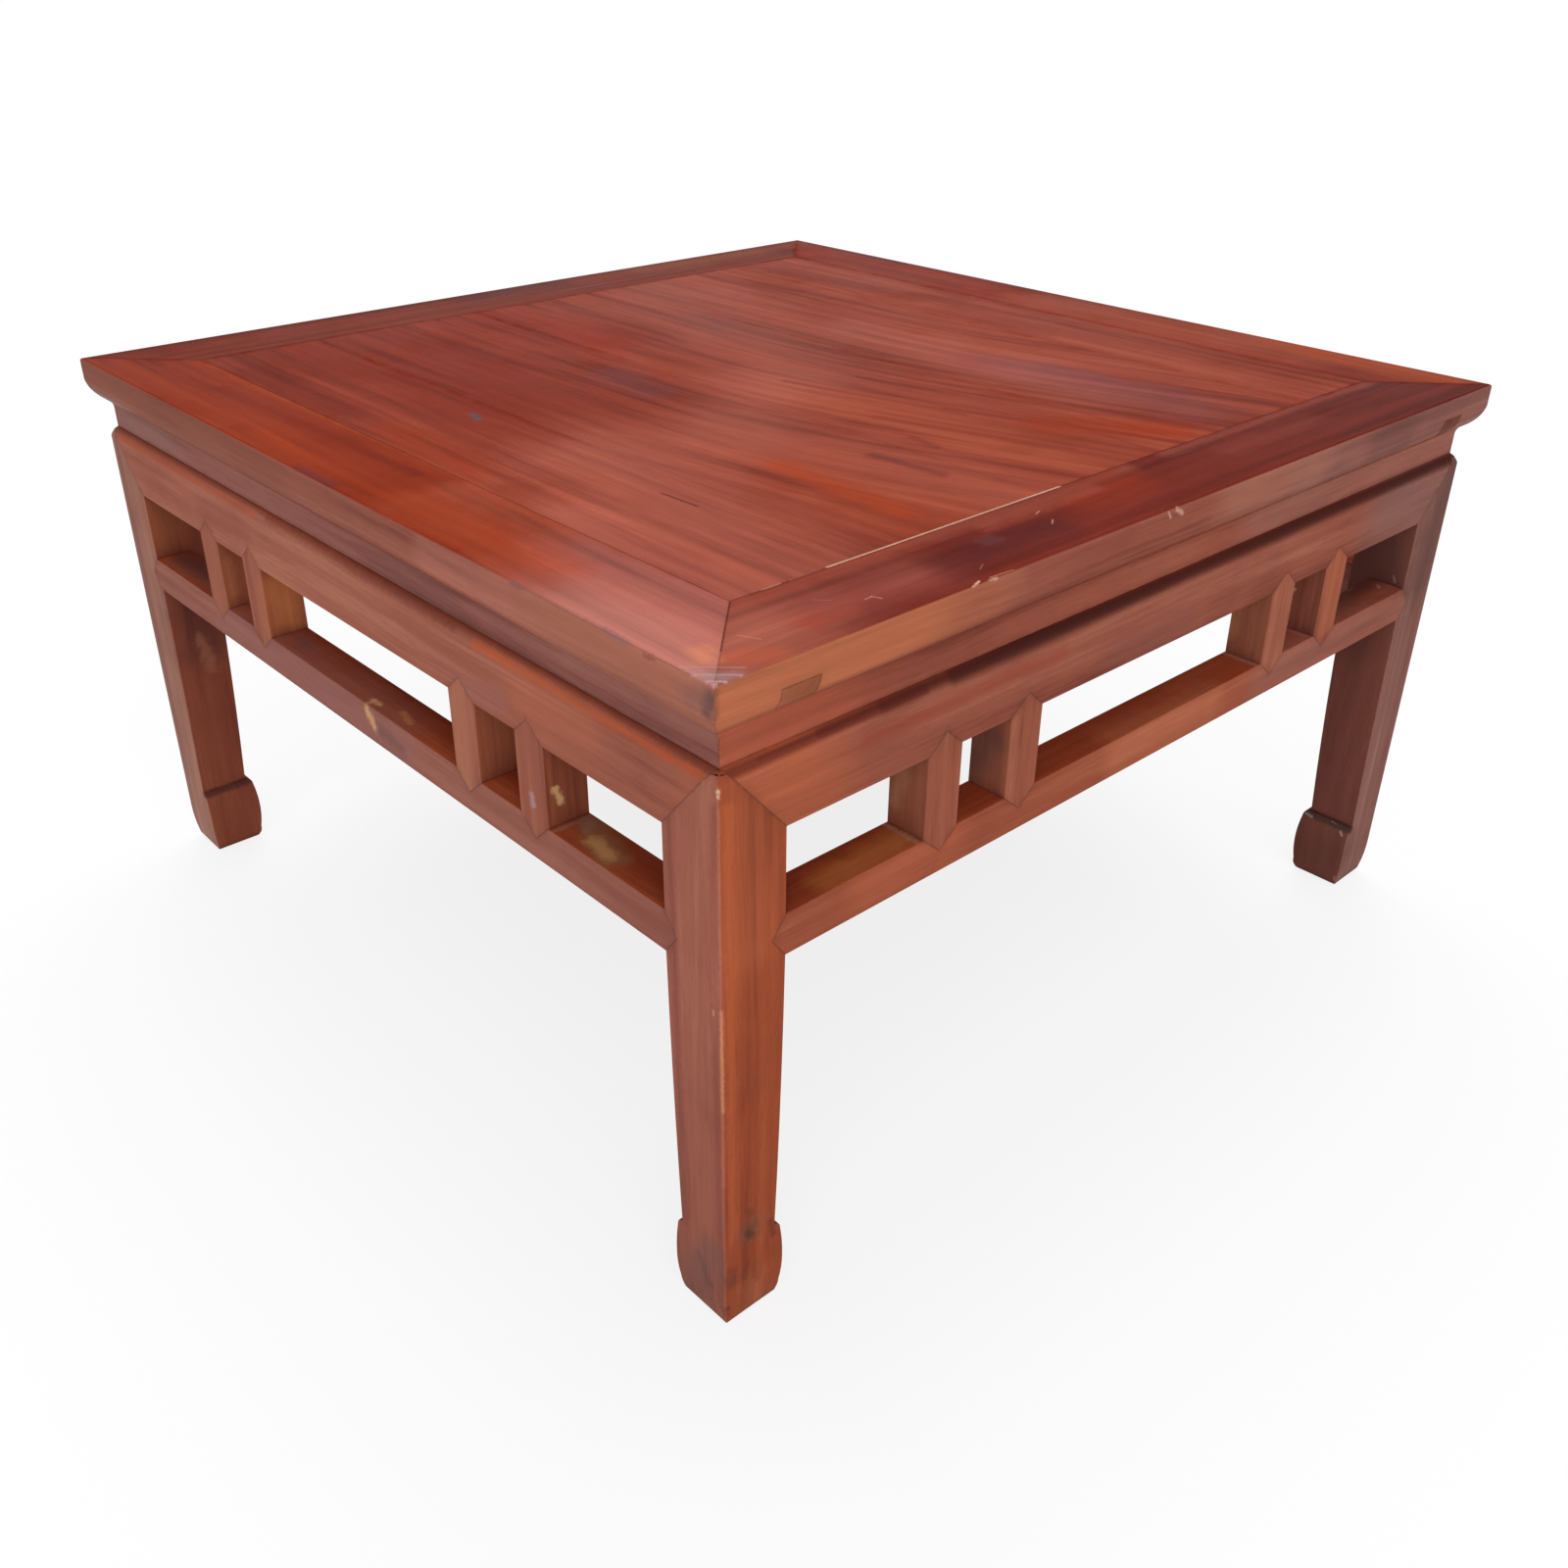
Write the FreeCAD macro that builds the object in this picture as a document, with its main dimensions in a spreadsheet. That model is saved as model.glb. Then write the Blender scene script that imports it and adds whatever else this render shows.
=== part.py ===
import FreeCAD, Part
import os
import re
import Sketcher

# Low square table with a recessed waist, open frieze and inward hoof feet.
# Every joint is cut in the wood itself: mitres, tenons, tongues and dovetail keys.
# Millimetres. The origin is on the floor under the middle of the top, and +Z is up.
# The front of the table faces -Y and its left side faces -X.

# Driving sizes
SIZES = {
    # whole table
    "table_width": 840,
    "table_height": 480,
    "face_inset": 9,              # from the edge of the top to the faces of legs and aprons

    # top frame and its moulded edge
    "rail_width": 75,
    "frame_thickness": 33.3,
    "edge_band": 17.5,            # upright part of the edge
    "edge_arris": 2.5,            # rounding of the top corner of the edge
    "edge_undercut": 8.3,         # how far the edge runs in below the band
    "edge_round": 24,             # radius of that undercut
    "frame_tenon_width": 28,
    "frame_tenon_thickness": 13,
    "frame_tenon_depth": 17,      # from the top face down to the tenon
    "frame_tenon_margin": 1,      # from the inner face of the rail to the tenon

    # panel, its tongue and its battens
    "panel_lip": 7.5,             # from the top face down to the tongue
    "panel_tongue": 5.5,
    "tongue_length": 7,
    "groove_length": 8,
    "panel_seam": 0.3,            # open seam round the panel
    "batten_width": 34,
    "batten_height": 19,
    "batten_spacing": 215,
    "batten_tenon_length": 20,
    "batten_tenon_width": 22,
    "batten_tenon_thickness": 10,
    "batten_tenon_drop": 5,       # from the underside of the panel down to the tenon
    "dovetail_height": 4,
    "dovetail_root": 18,
    "dovetail_tip": 22,

    # waist
    "waist_height": 25.2,
    "waist_thickness": 12,
    "waist_step": 6,              # from the faces of legs and aprons in to the waist
    "waist_cove": 6.2,            # how far the waist flares out under the frame
    "waist_cove_height": 8,
    "waist_cove_radius": 10,
    "waist_tongue_height": 2.5,
    "waist_tongue_width": 4,
    "waist_tongue_step": 5,

    # aprons
    "apron_height": 51.3,
    "apron_thickness": 26,
    "bevel_height": 8.5,          # rounded shoulder along the top of the apron
    "bevel_round": 14,
    "key_root": 9,                # dovetail key of the leg that hangs the apron
    "key_tip": 13,
    "key_depth": 6,
    "key_inset": 7.5,             # from the inner face of the leg to the key
    "key_stop": 10,               # from the top of the apron down to the key

    # frieze of stretchers and struts
    "frieze_opening": 58.8,
    "frieze_depth": 32,
    "stretcher_height": 29.6,
    "outer_opening": 116,
    "strut_width": 30.8,
    "pair_gap": 46.6,
    "nib_depth": 10.5,            # thickness of the V-shaped shoulders
    "strut_nib": 13.5,            # reach of the shoulders of a strut
    "stretcher_nib": 11,          # reach of the shoulders of a stretcher
    "strut_tenon_width": 18,
    "strut_tenon_length": 15,
    "stretcher_tenon_height": 20,
    "stretcher_tenon_length": 26,
    "tenon_thickness": 10,

    # legs and hoof feet
    "leg_width": 50,
    "leg_taper": 6.8,             # how far the inner faces run in down to the ankle
    "ledge_rise": 6.5,
    "ledge_reach": 5,
    "ledge_round": 7,
    "hoof_height": 61.5,
    "hoof_round": 150,
    "toe_height": 12,
    "toe_reach": 5.2,
    "toe_round": 14,
    "sole_inset": 4.6,            # from the toe in to the inner edge of the sole
    "foot_sweep": 34,             # height over which the outer faces run in
    "foot_inset": 3.6,
    "leg_tenon_width": 16,
    "leg_tenon_thickness": 11,
    "leg_tenon_length": 22,
    "leg_tenon_inset": 2,

    # shared
    "joint_play": 0.2,
    "overrun": 10,
}

# Seams between the boards of the panel, as shares of its width
SEAM_SHARES = (0, 0.156, 0.395, 0.639, 0.874, 1)

# Places worked out from the driving sizes
EDGE = "table_width/2"
FACE = f"({EDGE} - face_inset)"
RAIL_INNER = f"({EDGE} - rail_width)"
FRAME_UNDER = "(table_height - frame_thickness)"
PANEL_UNDER = "(table_height - panel_lip - panel_tongue)"
APRON_TOP = f"({FRAME_UNDER} - waist_height)"
APRON_UNDER = f"({APRON_TOP} - apron_height)"
STRETCHER_TOP = f"({APRON_UNDER} - frieze_opening)"
STRETCHER_UNDER = f"({STRETCHER_TOP} - stretcher_height)"
STRETCHER_MIDDLE = f"({STRETCHER_TOP} - stretcher_height/2)"
SHOULDER = f"({FACE} - leg_width)"                # inner faces of the legs
POST = "(waist_step + waist_thickness)"           # set-back of the post behind apron and waist
ANKLE = "(leg_width - leg_taper)"
FRAME_TENON_TOP = "(table_height - frame_tenon_depth)"
FRAME_TENON_UNDER = f"({FRAME_TENON_TOP} - frame_tenon_thickness)"
FRAME_TENON_INNER = "(rail_width - frame_tenon_margin)"
FRAME_TENON_OUTER = f"({FRAME_TENON_INNER} - frame_tenon_width)"
BATTEN_TENON_TOP = f"({PANEL_UNDER} - batten_tenon_drop)"
BATTEN_TENON_UNDER = f"({BATTEN_TENON_TOP} - batten_tenon_thickness)"
LEG_TENON_NEAR = f"({POST} + leg_tenon_inset)"
LEG_TENON_FAR = "(leg_width - leg_tenon_inset)"
STRUT_STARTS = (
    f"(-{SHOULDER} + outer_opening)",
    f"(-{SHOULDER} + outer_opening + strut_width + pair_gap)",
    f"({SHOULDER} - outer_opening - 2*strut_width - pair_gap)",
    f"({SHOULDER} - outer_opening - strut_width)",
)

# Sides: outward direction, and turn about the vertical from the front
SIDES = {
    "front": (0, -1, 0),
    "right": (1, 0, 90),
    "back": (0, 1, 180),
    "left": (-1, 0, 270),
}
CORNERS = {
    "front_left": (-1, -1, 0),
    "front_right": (1, -1, 90),
    "back_right": (1, 1, 180),
    "back_left": (-1, 1, 270),
}

document = FreeCAD.newDocument("KangTable")
sheet = document.addObject("Spreadsheet::Sheet", "Sizes")
for row, (alias, size) in enumerate(SIZES.items(), start=1):
    sheet.set(f"A{row}", alias)
    sheet.set(f"B{row}", str(size))
    sheet.setAlias(f"B{row}", alias)
document.recompute()
pieces = []


# Expressions
def bound(text):
    """The text with each size written as a cell of the sheet."""
    return re.sub(r"[a-z][a-z_]*", lambda word: f"Sizes.{word.group(0)}", text)


def value(text):
    """What the text comes to now."""
    return float(sheet.evalExpression(bound(text)))


# Bodies and features
def new_piece(label, along=(0, 0), reach="0", turn=0):
    """A body in a frame that is set out from the middle of the table and turned."""
    body = document.addObject("PartDesign::Body", label)
    body.Label = label
    body.setExpression("Placement.Base.x", bound(f"{along[0]}*{reach}"))
    body.setExpression("Placement.Base.y", bound(f"{along[1]}*{reach}"))
    body.Placement.Rotation = FreeCAD.Rotation(FreeCAD.Vector(0, 0, 1), turn)
    pieces.append(body)
    return body


def arc_between(start, end, radius, side):
    """The minor arc from start to end. It swells to the left of that way for side 1."""
    chord = end.sub(start)
    half = chord.Length / 2
    left = FreeCAD.Vector(-chord.y, chord.x, 0).normalize()
    sag = radius - max(radius * radius - half * half, 0) ** 0.5
    middle = start.add(chord.multiply(0.5)).add(left.multiply(side * sag))
    return Part.Arc(start, middle, end)


def draw(sketch, corners):
    """A closed outline. A corner is (x, y), or (x, y, radius, side) where an arc starts."""
    points = [FreeCAD.Vector(value(corner[0]), value(corner[1]), 0) for corner in corners]
    first = sketch.GeometryCount
    starts = []
    for index, corner in enumerate(corners):
        here = points[index]
        there = points[(index + 1) % len(points)]
        if len(corner) == 2:
            sketch.addGeometry(Part.LineSegment(here, there))
            starts.append((1, 2))
        else:
            sketch.addGeometry(arc_between(here, there, value(corner[2]), corner[3]))
            starts.append((2, 1) if corner[3] > 0 else (1, 2))
            radius = sketch.addConstraint(
                Sketcher.Constraint("Radius", first + index, value(corner[2])))
            sketch.setExpression(f"Constraints[{radius}]", bound(corner[2]))
    for index, corner in enumerate(corners):
        edge = first + index
        before = first + (index - 1) % len(corners)
        start = starts[index][0]
        sketch.addConstraint(
            Sketcher.Constraint("Coincident", before, starts[index - 1][1], edge, start))
        for kind, text, place in (("DistanceX", corner[0], points[index].x),
                                  ("DistanceY", corner[1], points[index].y)):
            constraint = sketch.addConstraint(
                Sketcher.Constraint(kind, -1, 1, edge, start, place))
            sketch.setExpression(f"Constraints[{constraint}]", bound(text))


def sketch_on(body, name, role, outlines, offset="0"):
    """A sketch with closed outlines on one of the body's own planes, or parallel to it."""
    sketch = body.newObject("Sketcher::SketchObject", name)
    plane = [item for item in body.Origin.OriginFeatures if item.Role == role][0]
    sketch.AttachmentSupport = [(plane, "")]
    sketch.MapMode = "FlatFace"
    sketch.setExpression("AttachmentOffset.Base.z", bound(offset))
    for corners in outlines:
        draw(sketch, corners)
    return sketch


def extrude(body, kind, name, role, outlines, length, offset="0", reverse=False, middle=False):
    """A pad or a pocket of closed outlines."""
    feature = body.newObject(f"PartDesign::{kind}", name)
    feature.Profile = sketch_on(body, f"{name}Sketch", role, outlines, offset)
    feature.setExpression("Length", bound(length))
    feature.Reversed = reverse
    feature.Midplane = middle
    return feature


def block(body, kind, name, lowest, highest):
    """A box added to the body or cut out of it."""
    box = body.newObject(f"PartDesign::{kind}Box", name)
    for axis, side, low, high in zip("xyz", ("Length", "Width", "Height"), lowest, highest):
        box.setExpression(f"Placement.Base.{axis}", bound(low))
        box.setExpression(side, bound(f"({high}) - ({low})"))
    return box


def rectangle(x_low, x_high, y_low, y_high):
    return ((x_low, y_low), (x_high, y_low), (x_high, y_high), (x_low, y_high))


def mirrored(corners):
    """The outline on the other side of x = 0, still drawn anticlockwise."""
    return tuple((f"-({x})", y) for x, y in reversed(corners))


def mitre_ends(body, name, corner, width):
    """Cuts both ends of a side piece at 45 degrees in plan, from its corner inwards."""
    waste = (
        (f"{corner} + overrun", "-overrun"),
        (f"{corner} + 2*overrun", "-overrun"),
        (f"{corner} + 2*overrun", f"{width} + overrun"),
        (f"{corner} - {width} - overrun", f"{width} + overrun"),
    )
    extrude(body, "Pocket", name, "XY_Plane", (waste, mirrored(waste)),
            "2*(table_height + overrun)", middle=True)


# Legs
def leg_outline():
    """One elevation of the leg, from its outer corner inwards. Both elevations are alike."""
    sweep_height = f"({STRETCHER_UNDER} - hoof_height - ledge_rise)"
    sweep_radius = f"({sweep_height}^2 + leg_taper^2)/leg_taper"
    heel_radius = "(foot_sweep^2 + foot_inset^2)/(2*foot_inset)"
    return (
        ("foot_inset", "0"),
        (f"{ANKLE} + toe_reach - sole_inset", "0", "toe_round", -1),
        (f"{ANKLE} + toe_reach", "toe_height", "hoof_round", -1),
        (f"{ANKLE} + ledge_reach", "hoof_height", "ledge_round", -1),
        (ANKLE, "hoof_height + ledge_rise", sweep_radius, -1),
        ("leg_width", STRETCHER_UNDER),
        ("leg_width", FRAME_UNDER),
        ("waist_step", FRAME_UNDER),
        ("waist_step", APRON_TOP, "bevel_round", -1),
        ("0", f"{APRON_TOP} - bevel_height"),
        ("0", "foot_sweep", heel_radius, -1),
    )


def make_leg(corner, across, turn):
    leg = new_piece(f"leg_{corner}", across, FACE, turn)
    extrude(leg, "Pad", "Elevation", "XZ_Plane", (leg_outline(),), "2*leg_width", reverse=True)
    around = rectangle("-overrun", "3*leg_width", "-overrun", f"{FRAME_UNDER} + overrun")
    extrude(leg, "Pocket", "SideElevation", "YZ_Plane", (around, leg_outline()),
            "3*leg_width", reverse=True)

    # the mitred shoulders that the aprons embrace, and the post behind them
    lap = (
        ("-overrun", APRON_TOP),
        ("waist_step", APRON_TOP),
        ("leg_width", APRON_UNDER),
        ("2*leg_width", APRON_UNDER),
        ("2*leg_width", f"{FRAME_UNDER} + overrun"),
        ("-overrun", f"{FRAME_UNDER} + overrun"),
    )
    extrude(leg, "Pocket", "FrontShoulder", "XZ_Plane", (lap,), POST)
    extrude(leg, "Pocket", "SideShoulder", "YZ_Plane", (lap,), POST, reverse=True)

    # dovetail keys, one on each outer face of the post
    far = "(leg_width - key_inset)"
    splay = "(key_tip - key_root)/2"
    key = (
        (f"{far} - key_tip", f"{POST} - key_depth"),
        (far, f"{POST} - key_depth"),
        (f"{far} - {splay}", f"{POST}"),
        (f"{far} - {splay}", f"{POST} + leg_tenon_inset"),
        (f"{far} - {splay} - key_root", f"{POST} + leg_tenon_inset"),
        (f"{far} - {splay} - key_root", f"{POST}"),
    )
    other_key = tuple((y, x) for x, y in reversed(key))
    extrude(leg, "Pad", "Keys", "XY_Plane", (key, other_key),
            "apron_height - key_stop", offset=APRON_UNDER)

    # tenon into the long rail, which lies on alternate faces of neighbouring legs
    narrow = (LEG_TENON_NEAR, f"{LEG_TENON_NEAR} + leg_tenon_thickness")
    wide = (f"{LEG_TENON_FAR} - leg_tenon_width", LEG_TENON_FAR)
    along_x, along_y = (narrow, wide) if turn % 180 == 0 else (wide, narrow)
    block(leg, "Additive", "TopTenon",
          (along_x[0], along_y[0], f"{FRAME_UNDER} - leg_tenon_inset"),
          (along_x[1], along_y[1], f"{FRAME_UNDER} + leg_tenon_length"))

    # V-shaped recesses and mortises for the two stretchers
    recess = (
        ("leg_width", STRETCHER_UNDER),
        ("leg_width + overrun", STRETCHER_UNDER),
        ("leg_width + overrun", STRETCHER_TOP),
        ("leg_width", STRETCHER_TOP),
        ("leg_width - stretcher_nib", STRETCHER_MIDDLE),
    )
    extrude(leg, "Pocket", "FrontRecess", "XZ_Plane", (recess,), "nib_depth")
    extrude(leg, "Pocket", "SideRecess", "YZ_Plane", (recess,), "nib_depth", reverse=True)
    deep = ("leg_width - stretcher_tenon_length - joint_play", "leg_width + overrun")
    thin = ("nib_depth - joint_play", "nib_depth + tenon_thickness + joint_play")
    low = f"{STRETCHER_MIDDLE} - stretcher_tenon_height/2 - joint_play"
    high = f"{STRETCHER_MIDDLE} + stretcher_tenon_height/2 + joint_play"
    block(leg, "Subtractive", "FrontMortise", (deep[0], thin[0], low), (deep[1], thin[1], high))
    block(leg, "Subtractive", "SideMortise", (thin[0], deep[0], low), (thin[1], deep[1], high))


# Frieze
def strut_notches(level, sign):
    """V-shaped notches for the four struts, cut into a piece from its level upwards or down."""
    notches = []
    for start in STRUT_STARTS:
        corners = (
            (start, level),
            (f"{start} + strut_width/2", f"{level} + {sign}*strut_nib"),
            (f"{start} + strut_width", level),
            (f"{start} + strut_width", f"{level} - {sign}*overrun"),
            (start, f"{level} - {sign}*overrun"),
        )
        notches.append(corners if sign < 0 else tuple(reversed(corners)))
    return notches


def strut_mortises():
    """Plan of the mortises for the four struts."""
    edge = "(strut_width - strut_tenon_width)/2"
    return [rectangle(f"{start} + {edge} - joint_play",
                      f"{start} + strut_width - {edge} + joint_play",
                      "nib_depth - joint_play",
                      "nib_depth + tenon_thickness + joint_play") for start in STRUT_STARTS]


def make_stretcher(side, outward, turn):
    stretcher = new_piece(f"stretcher_{side}", outward, FACE, turn)
    section = rectangle("0", "frieze_depth", STRETCHER_UNDER, STRETCHER_TOP)
    extrude(stretcher, "Pad", "Bar", "YZ_Plane", (section,), f"2*{SHOULDER}", middle=True)
    face = (
        (f"-{SHOULDER}", STRETCHER_UNDER),
        (SHOULDER, STRETCHER_UNDER),
        (f"{SHOULDER} + stretcher_nib", STRETCHER_MIDDLE),
        (SHOULDER, STRETCHER_TOP),
        (f"-{SHOULDER}", STRETCHER_TOP),
        (f"-{SHOULDER} - stretcher_nib", STRETCHER_MIDDLE),
    )
    extrude(stretcher, "Pad", "PointedFace", "XZ_Plane", (face,), "nib_depth", reverse=True)
    block(stretcher, "Additive", "Tenons",
          (f"-{SHOULDER} - stretcher_tenon_length", "nib_depth",
           f"{STRETCHER_MIDDLE} - stretcher_tenon_height/2"),
          (f"{SHOULDER} + stretcher_tenon_length", "nib_depth + tenon_thickness",
           f"{STRETCHER_MIDDLE} + stretcher_tenon_height/2"))
    extrude(stretcher, "Pocket", "Notches", "XZ_Plane", strut_notches(STRETCHER_TOP, -1),
            "nib_depth")
    extrude(stretcher, "Pocket", "Mortises", "XY_Plane", strut_mortises(),
            "strut_tenon_length + joint_play", offset=STRETCHER_TOP)


def make_strut(side, outward, turn, number, start):
    strut = new_piece(f"strut_{side}_{number}", outward, FACE, turn)
    middle = f"({start} + strut_width/2)"
    face = (
        (start, STRETCHER_TOP),
        (middle, f"{STRETCHER_TOP} - strut_nib"),
        (f"{start} + strut_width", STRETCHER_TOP),
        (f"{start} + strut_width", APRON_UNDER),
        (middle, f"{APRON_UNDER} + strut_nib"),
        (start, APRON_UNDER),
    )
    extrude(strut, "Pad", "PointedFace", "XZ_Plane", (face,), "nib_depth", reverse=True)
    block(strut, "Additive", "Bar",
          (start, "0", STRETCHER_TOP), (f"{start} + strut_width", "frieze_depth", APRON_UNDER))
    block(strut, "Additive", "Tenons",
          (f"{middle} - strut_tenon_width/2", "nib_depth",
           f"{STRETCHER_TOP} - strut_tenon_length"),
          (f"{middle} + strut_tenon_width/2", "nib_depth + tenon_thickness",
           f"{APRON_UNDER} + strut_tenon_length"))


# Aprons
def make_apron(side, outward, turn):
    apron = new_piece(f"apron_{side}", outward, FACE, turn)
    section = (
        ("0", APRON_UNDER),
        ("apron_thickness", APRON_UNDER),
        ("apron_thickness", APRON_TOP),
        ("waist_step", APRON_TOP, "bevel_round", -1),
        ("0", f"{APRON_TOP} - bevel_height"),
    )
    extrude(apron, "Pad", "Board", "YZ_Plane", (section,), f"2*({FACE} - waist_step)",
            middle=True)

    # the back half ends square against the legs, the front half laps over their posts
    for name, sign in (("LeftEnd", -1), ("RightEnd", 1)):
        ends = sorted((f"{sign}*{SHOULDER}", f"{sign}*({FACE} + overrun)"), key=value)
        block(apron, "Subtractive", name,
              (ends[0], POST, f"{APRON_UNDER} - overrun"),
              (ends[1], "apron_thickness + overrun", f"{APRON_TOP} + overrun"))
    shoulder = (
        (SHOULDER, APRON_UNDER),
        (SHOULDER, f"{APRON_UNDER} - overrun"),
        (f"{FACE} + overrun", f"{APRON_UNDER} - overrun"),
        (f"{FACE} + overrun", f"{APRON_TOP} + overrun"),
        (f"{FACE} - waist_step", f"{APRON_TOP} + overrun"),
        (f"{FACE} - waist_step", APRON_TOP),
    )
    extrude(apron, "Pocket", "Shoulders", "XZ_Plane", (shoulder, mirrored(shoulder)), POST)
    mitre_ends(apron, "CornerMitres", FACE, POST)

    # dovetail slots at the back of the laps, open below, for the keys of the legs
    far = f"({FACE} - leg_width + key_inset)"
    splay = "(key_tip - key_root)/2"
    slot = (
        (f"{far} + {splay} - joint_play", f"{POST} + overrun"),
        (f"{far} + {splay} - joint_play", POST),
        (f"{far} - joint_play", f"{POST} - key_depth - joint_play"),
        (f"{far} + key_tip + joint_play", f"{POST} - key_depth - joint_play"),
        (f"{far} + key_tip - {splay} + joint_play", POST),
        (f"{far} + key_tip - {splay} + joint_play", f"{POST} + overrun"),
    )
    extrude(apron, "Pocket", "KeySlots", "XY_Plane", (slot, mirrored(slot)),
            "apron_height - key_stop + joint_play", offset=APRON_UNDER, reverse=True)
    extrude(apron, "Pocket", "Notches", "XZ_Plane", strut_notches(APRON_UNDER, 1), "nib_depth")
    extrude(apron, "Pocket", "Mortises", "XY_Plane", strut_mortises(),
            "strut_tenon_length + joint_play", offset=APRON_UNDER, reverse=True)


# Waist
def make_waist(side, outward, turn):
    waist = new_piece(f"waist_{side}", outward, FACE, turn)
    tongue = "(waist_step + waist_tongue_step)"
    section = (
        ("waist_step", APRON_TOP),
        (POST, APRON_TOP),
        (POST, FRAME_UNDER),
        (f"{tongue} + waist_tongue_width", FRAME_UNDER),
        (f"{tongue} + waist_tongue_width", f"{FRAME_UNDER} + waist_tongue_height"),
        (tongue, f"{FRAME_UNDER} + waist_tongue_height"),
        (tongue, FRAME_UNDER),
        ("waist_step - waist_cove", FRAME_UNDER, "waist_cove_radius", 1),
        ("waist_step", f"{FRAME_UNDER} - waist_cove_height"),
    )
    extrude(waist, "Pad", "Strip", "YZ_Plane", (section,), f"2*({FACE} + waist_cove)",
            middle=True)
    mitre_ends(waist, "CornerMitres", FACE, POST)


# Top frame
def rail_section():
    """Section of a rail, from the edge of the top inwards."""
    tongue = "(face_inset + waist_step + waist_tongue_step)"
    groove_top = "(table_height - panel_lip + joint_play)"
    groove_under = f"({PANEL_UNDER} - joint_play)"
    lip = "(rail_width - groove_length)"
    return (
        ("0", "table_height - edge_band", "edge_round", -1),
        ("edge_undercut", FRAME_UNDER),
        (f"{tongue} - joint_play", FRAME_UNDER),
        (f"{tongue} - joint_play", f"{FRAME_UNDER} + waist_tongue_height + joint_play"),
        (f"{tongue} + waist_tongue_width + joint_play",
         f"{FRAME_UNDER} + waist_tongue_height + joint_play"),
        (f"{tongue} + waist_tongue_width + joint_play", FRAME_UNDER),
        ("rail_width", FRAME_UNDER),
        ("rail_width", groove_under),
        (lip, groove_under),
        (lip, groove_top),
        ("rail_width", groove_top),
        ("rail_width", "table_height"),
        ("edge_arris", "table_height", "edge_arris", -1),
        ("0", "table_height - edge_arris"),
    )


def make_rail(label, outward, turn):
    rail = new_piece(label, outward, EDGE, turn)
    extrude(rail, "Pad", "Moulding", "YZ_Plane", (rail_section(),), "table_width", middle=True)
    mitre_ends(rail, "CornerMitres", EDGE, "rail_width")
    return rail


def make_long_rail(side, outward, turn):
    rail = make_rail(f"long_rail_{side}", outward, turn)
    block(rail, "Additive", "Tenons",
          (f"-{EDGE}", FRAME_TENON_OUTER, FRAME_TENON_UNDER),
          (EDGE, FRAME_TENON_INNER, FRAME_TENON_TOP))

    # the tenons end flush with the moulded edge of the short rails
    waste = (
        (EDGE, "table_height - edge_band"),
        (f"{EDGE} + overrun", "table_height - edge_band"),
        (f"{EDGE} + overrun", f"{FRAME_UNDER} - overrun"),
        (f"{EDGE} - edge_undercut", f"{FRAME_UNDER} - overrun"),
        (f"{EDGE} - edge_undercut", FRAME_UNDER, "edge_round", -1),
    )
    other = (
        (f"-{EDGE} + edge_undercut", f"{FRAME_UNDER} - overrun"),
        (f"-{EDGE} - overrun", f"{FRAME_UNDER} - overrun"),
        (f"-{EDGE} - overrun", "table_height - edge_band"),
        (f"-{EDGE}", "table_height - edge_band", "edge_round", -1),
        (f"-{EDGE} + edge_undercut", FRAME_UNDER),
    )
    extrude(rail, "Pocket", "TenonEnds", "XZ_Plane", (waste, other), "rail_width + overrun")

    # mortises for the leg tenons from below, and for the battens in the inner face
    for name, sign in (("LeftLeg", -1), ("RightLeg", 1)):
        ends = sorted((f"{sign}*({FACE} - {LEG_TENON_FAR} - joint_play)",
                       f"{sign}*({FACE} - {LEG_TENON_FAR} + leg_tenon_width + joint_play)"),
                      key=value)
        block(rail, "Subtractive", f"{name}Mortise",
              (ends[0], f"face_inset + {LEG_TENON_NEAR} - joint_play",
               f"{FRAME_UNDER} - overrun"),
              (ends[1], f"face_inset + {LEG_TENON_NEAR} + leg_tenon_thickness + joint_play",
               f"{FRAME_UNDER} + leg_tenon_length + joint_play"))
    for place in (-1, 0, 1):
        block(rail, "Subtractive", f"BattenMortise{place + 2}",
              (f"{place}*batten_spacing - batten_tenon_width/2 - joint_play",
               "rail_width - batten_tenon_length - joint_play",
               f"{BATTEN_TENON_UNDER} - joint_play"),
              (f"{place}*batten_spacing + batten_tenon_width/2 + joint_play",
               "rail_width + overrun",
               f"{BATTEN_TENON_TOP} + joint_play"))


def make_short_rail(side, outward, turn):
    rail = make_rail(f"short_rail_{side}", outward, turn)
    for name, sign in (("Left", -1), ("Right", 1)):
        ends = sorted((f"{sign}*({EDGE} - {FRAME_TENON_INNER} - joint_play)",
                       f"{sign}*({EDGE} - {FRAME_TENON_OUTER} + joint_play)"), key=value)
        block(rail, "Subtractive", f"{name}Mortise",
              (ends[0], "-overrun", f"{FRAME_TENON_UNDER} - joint_play"),
              (ends[1], "rail_width + overrun", f"{FRAME_TENON_TOP} + joint_play"))


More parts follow.
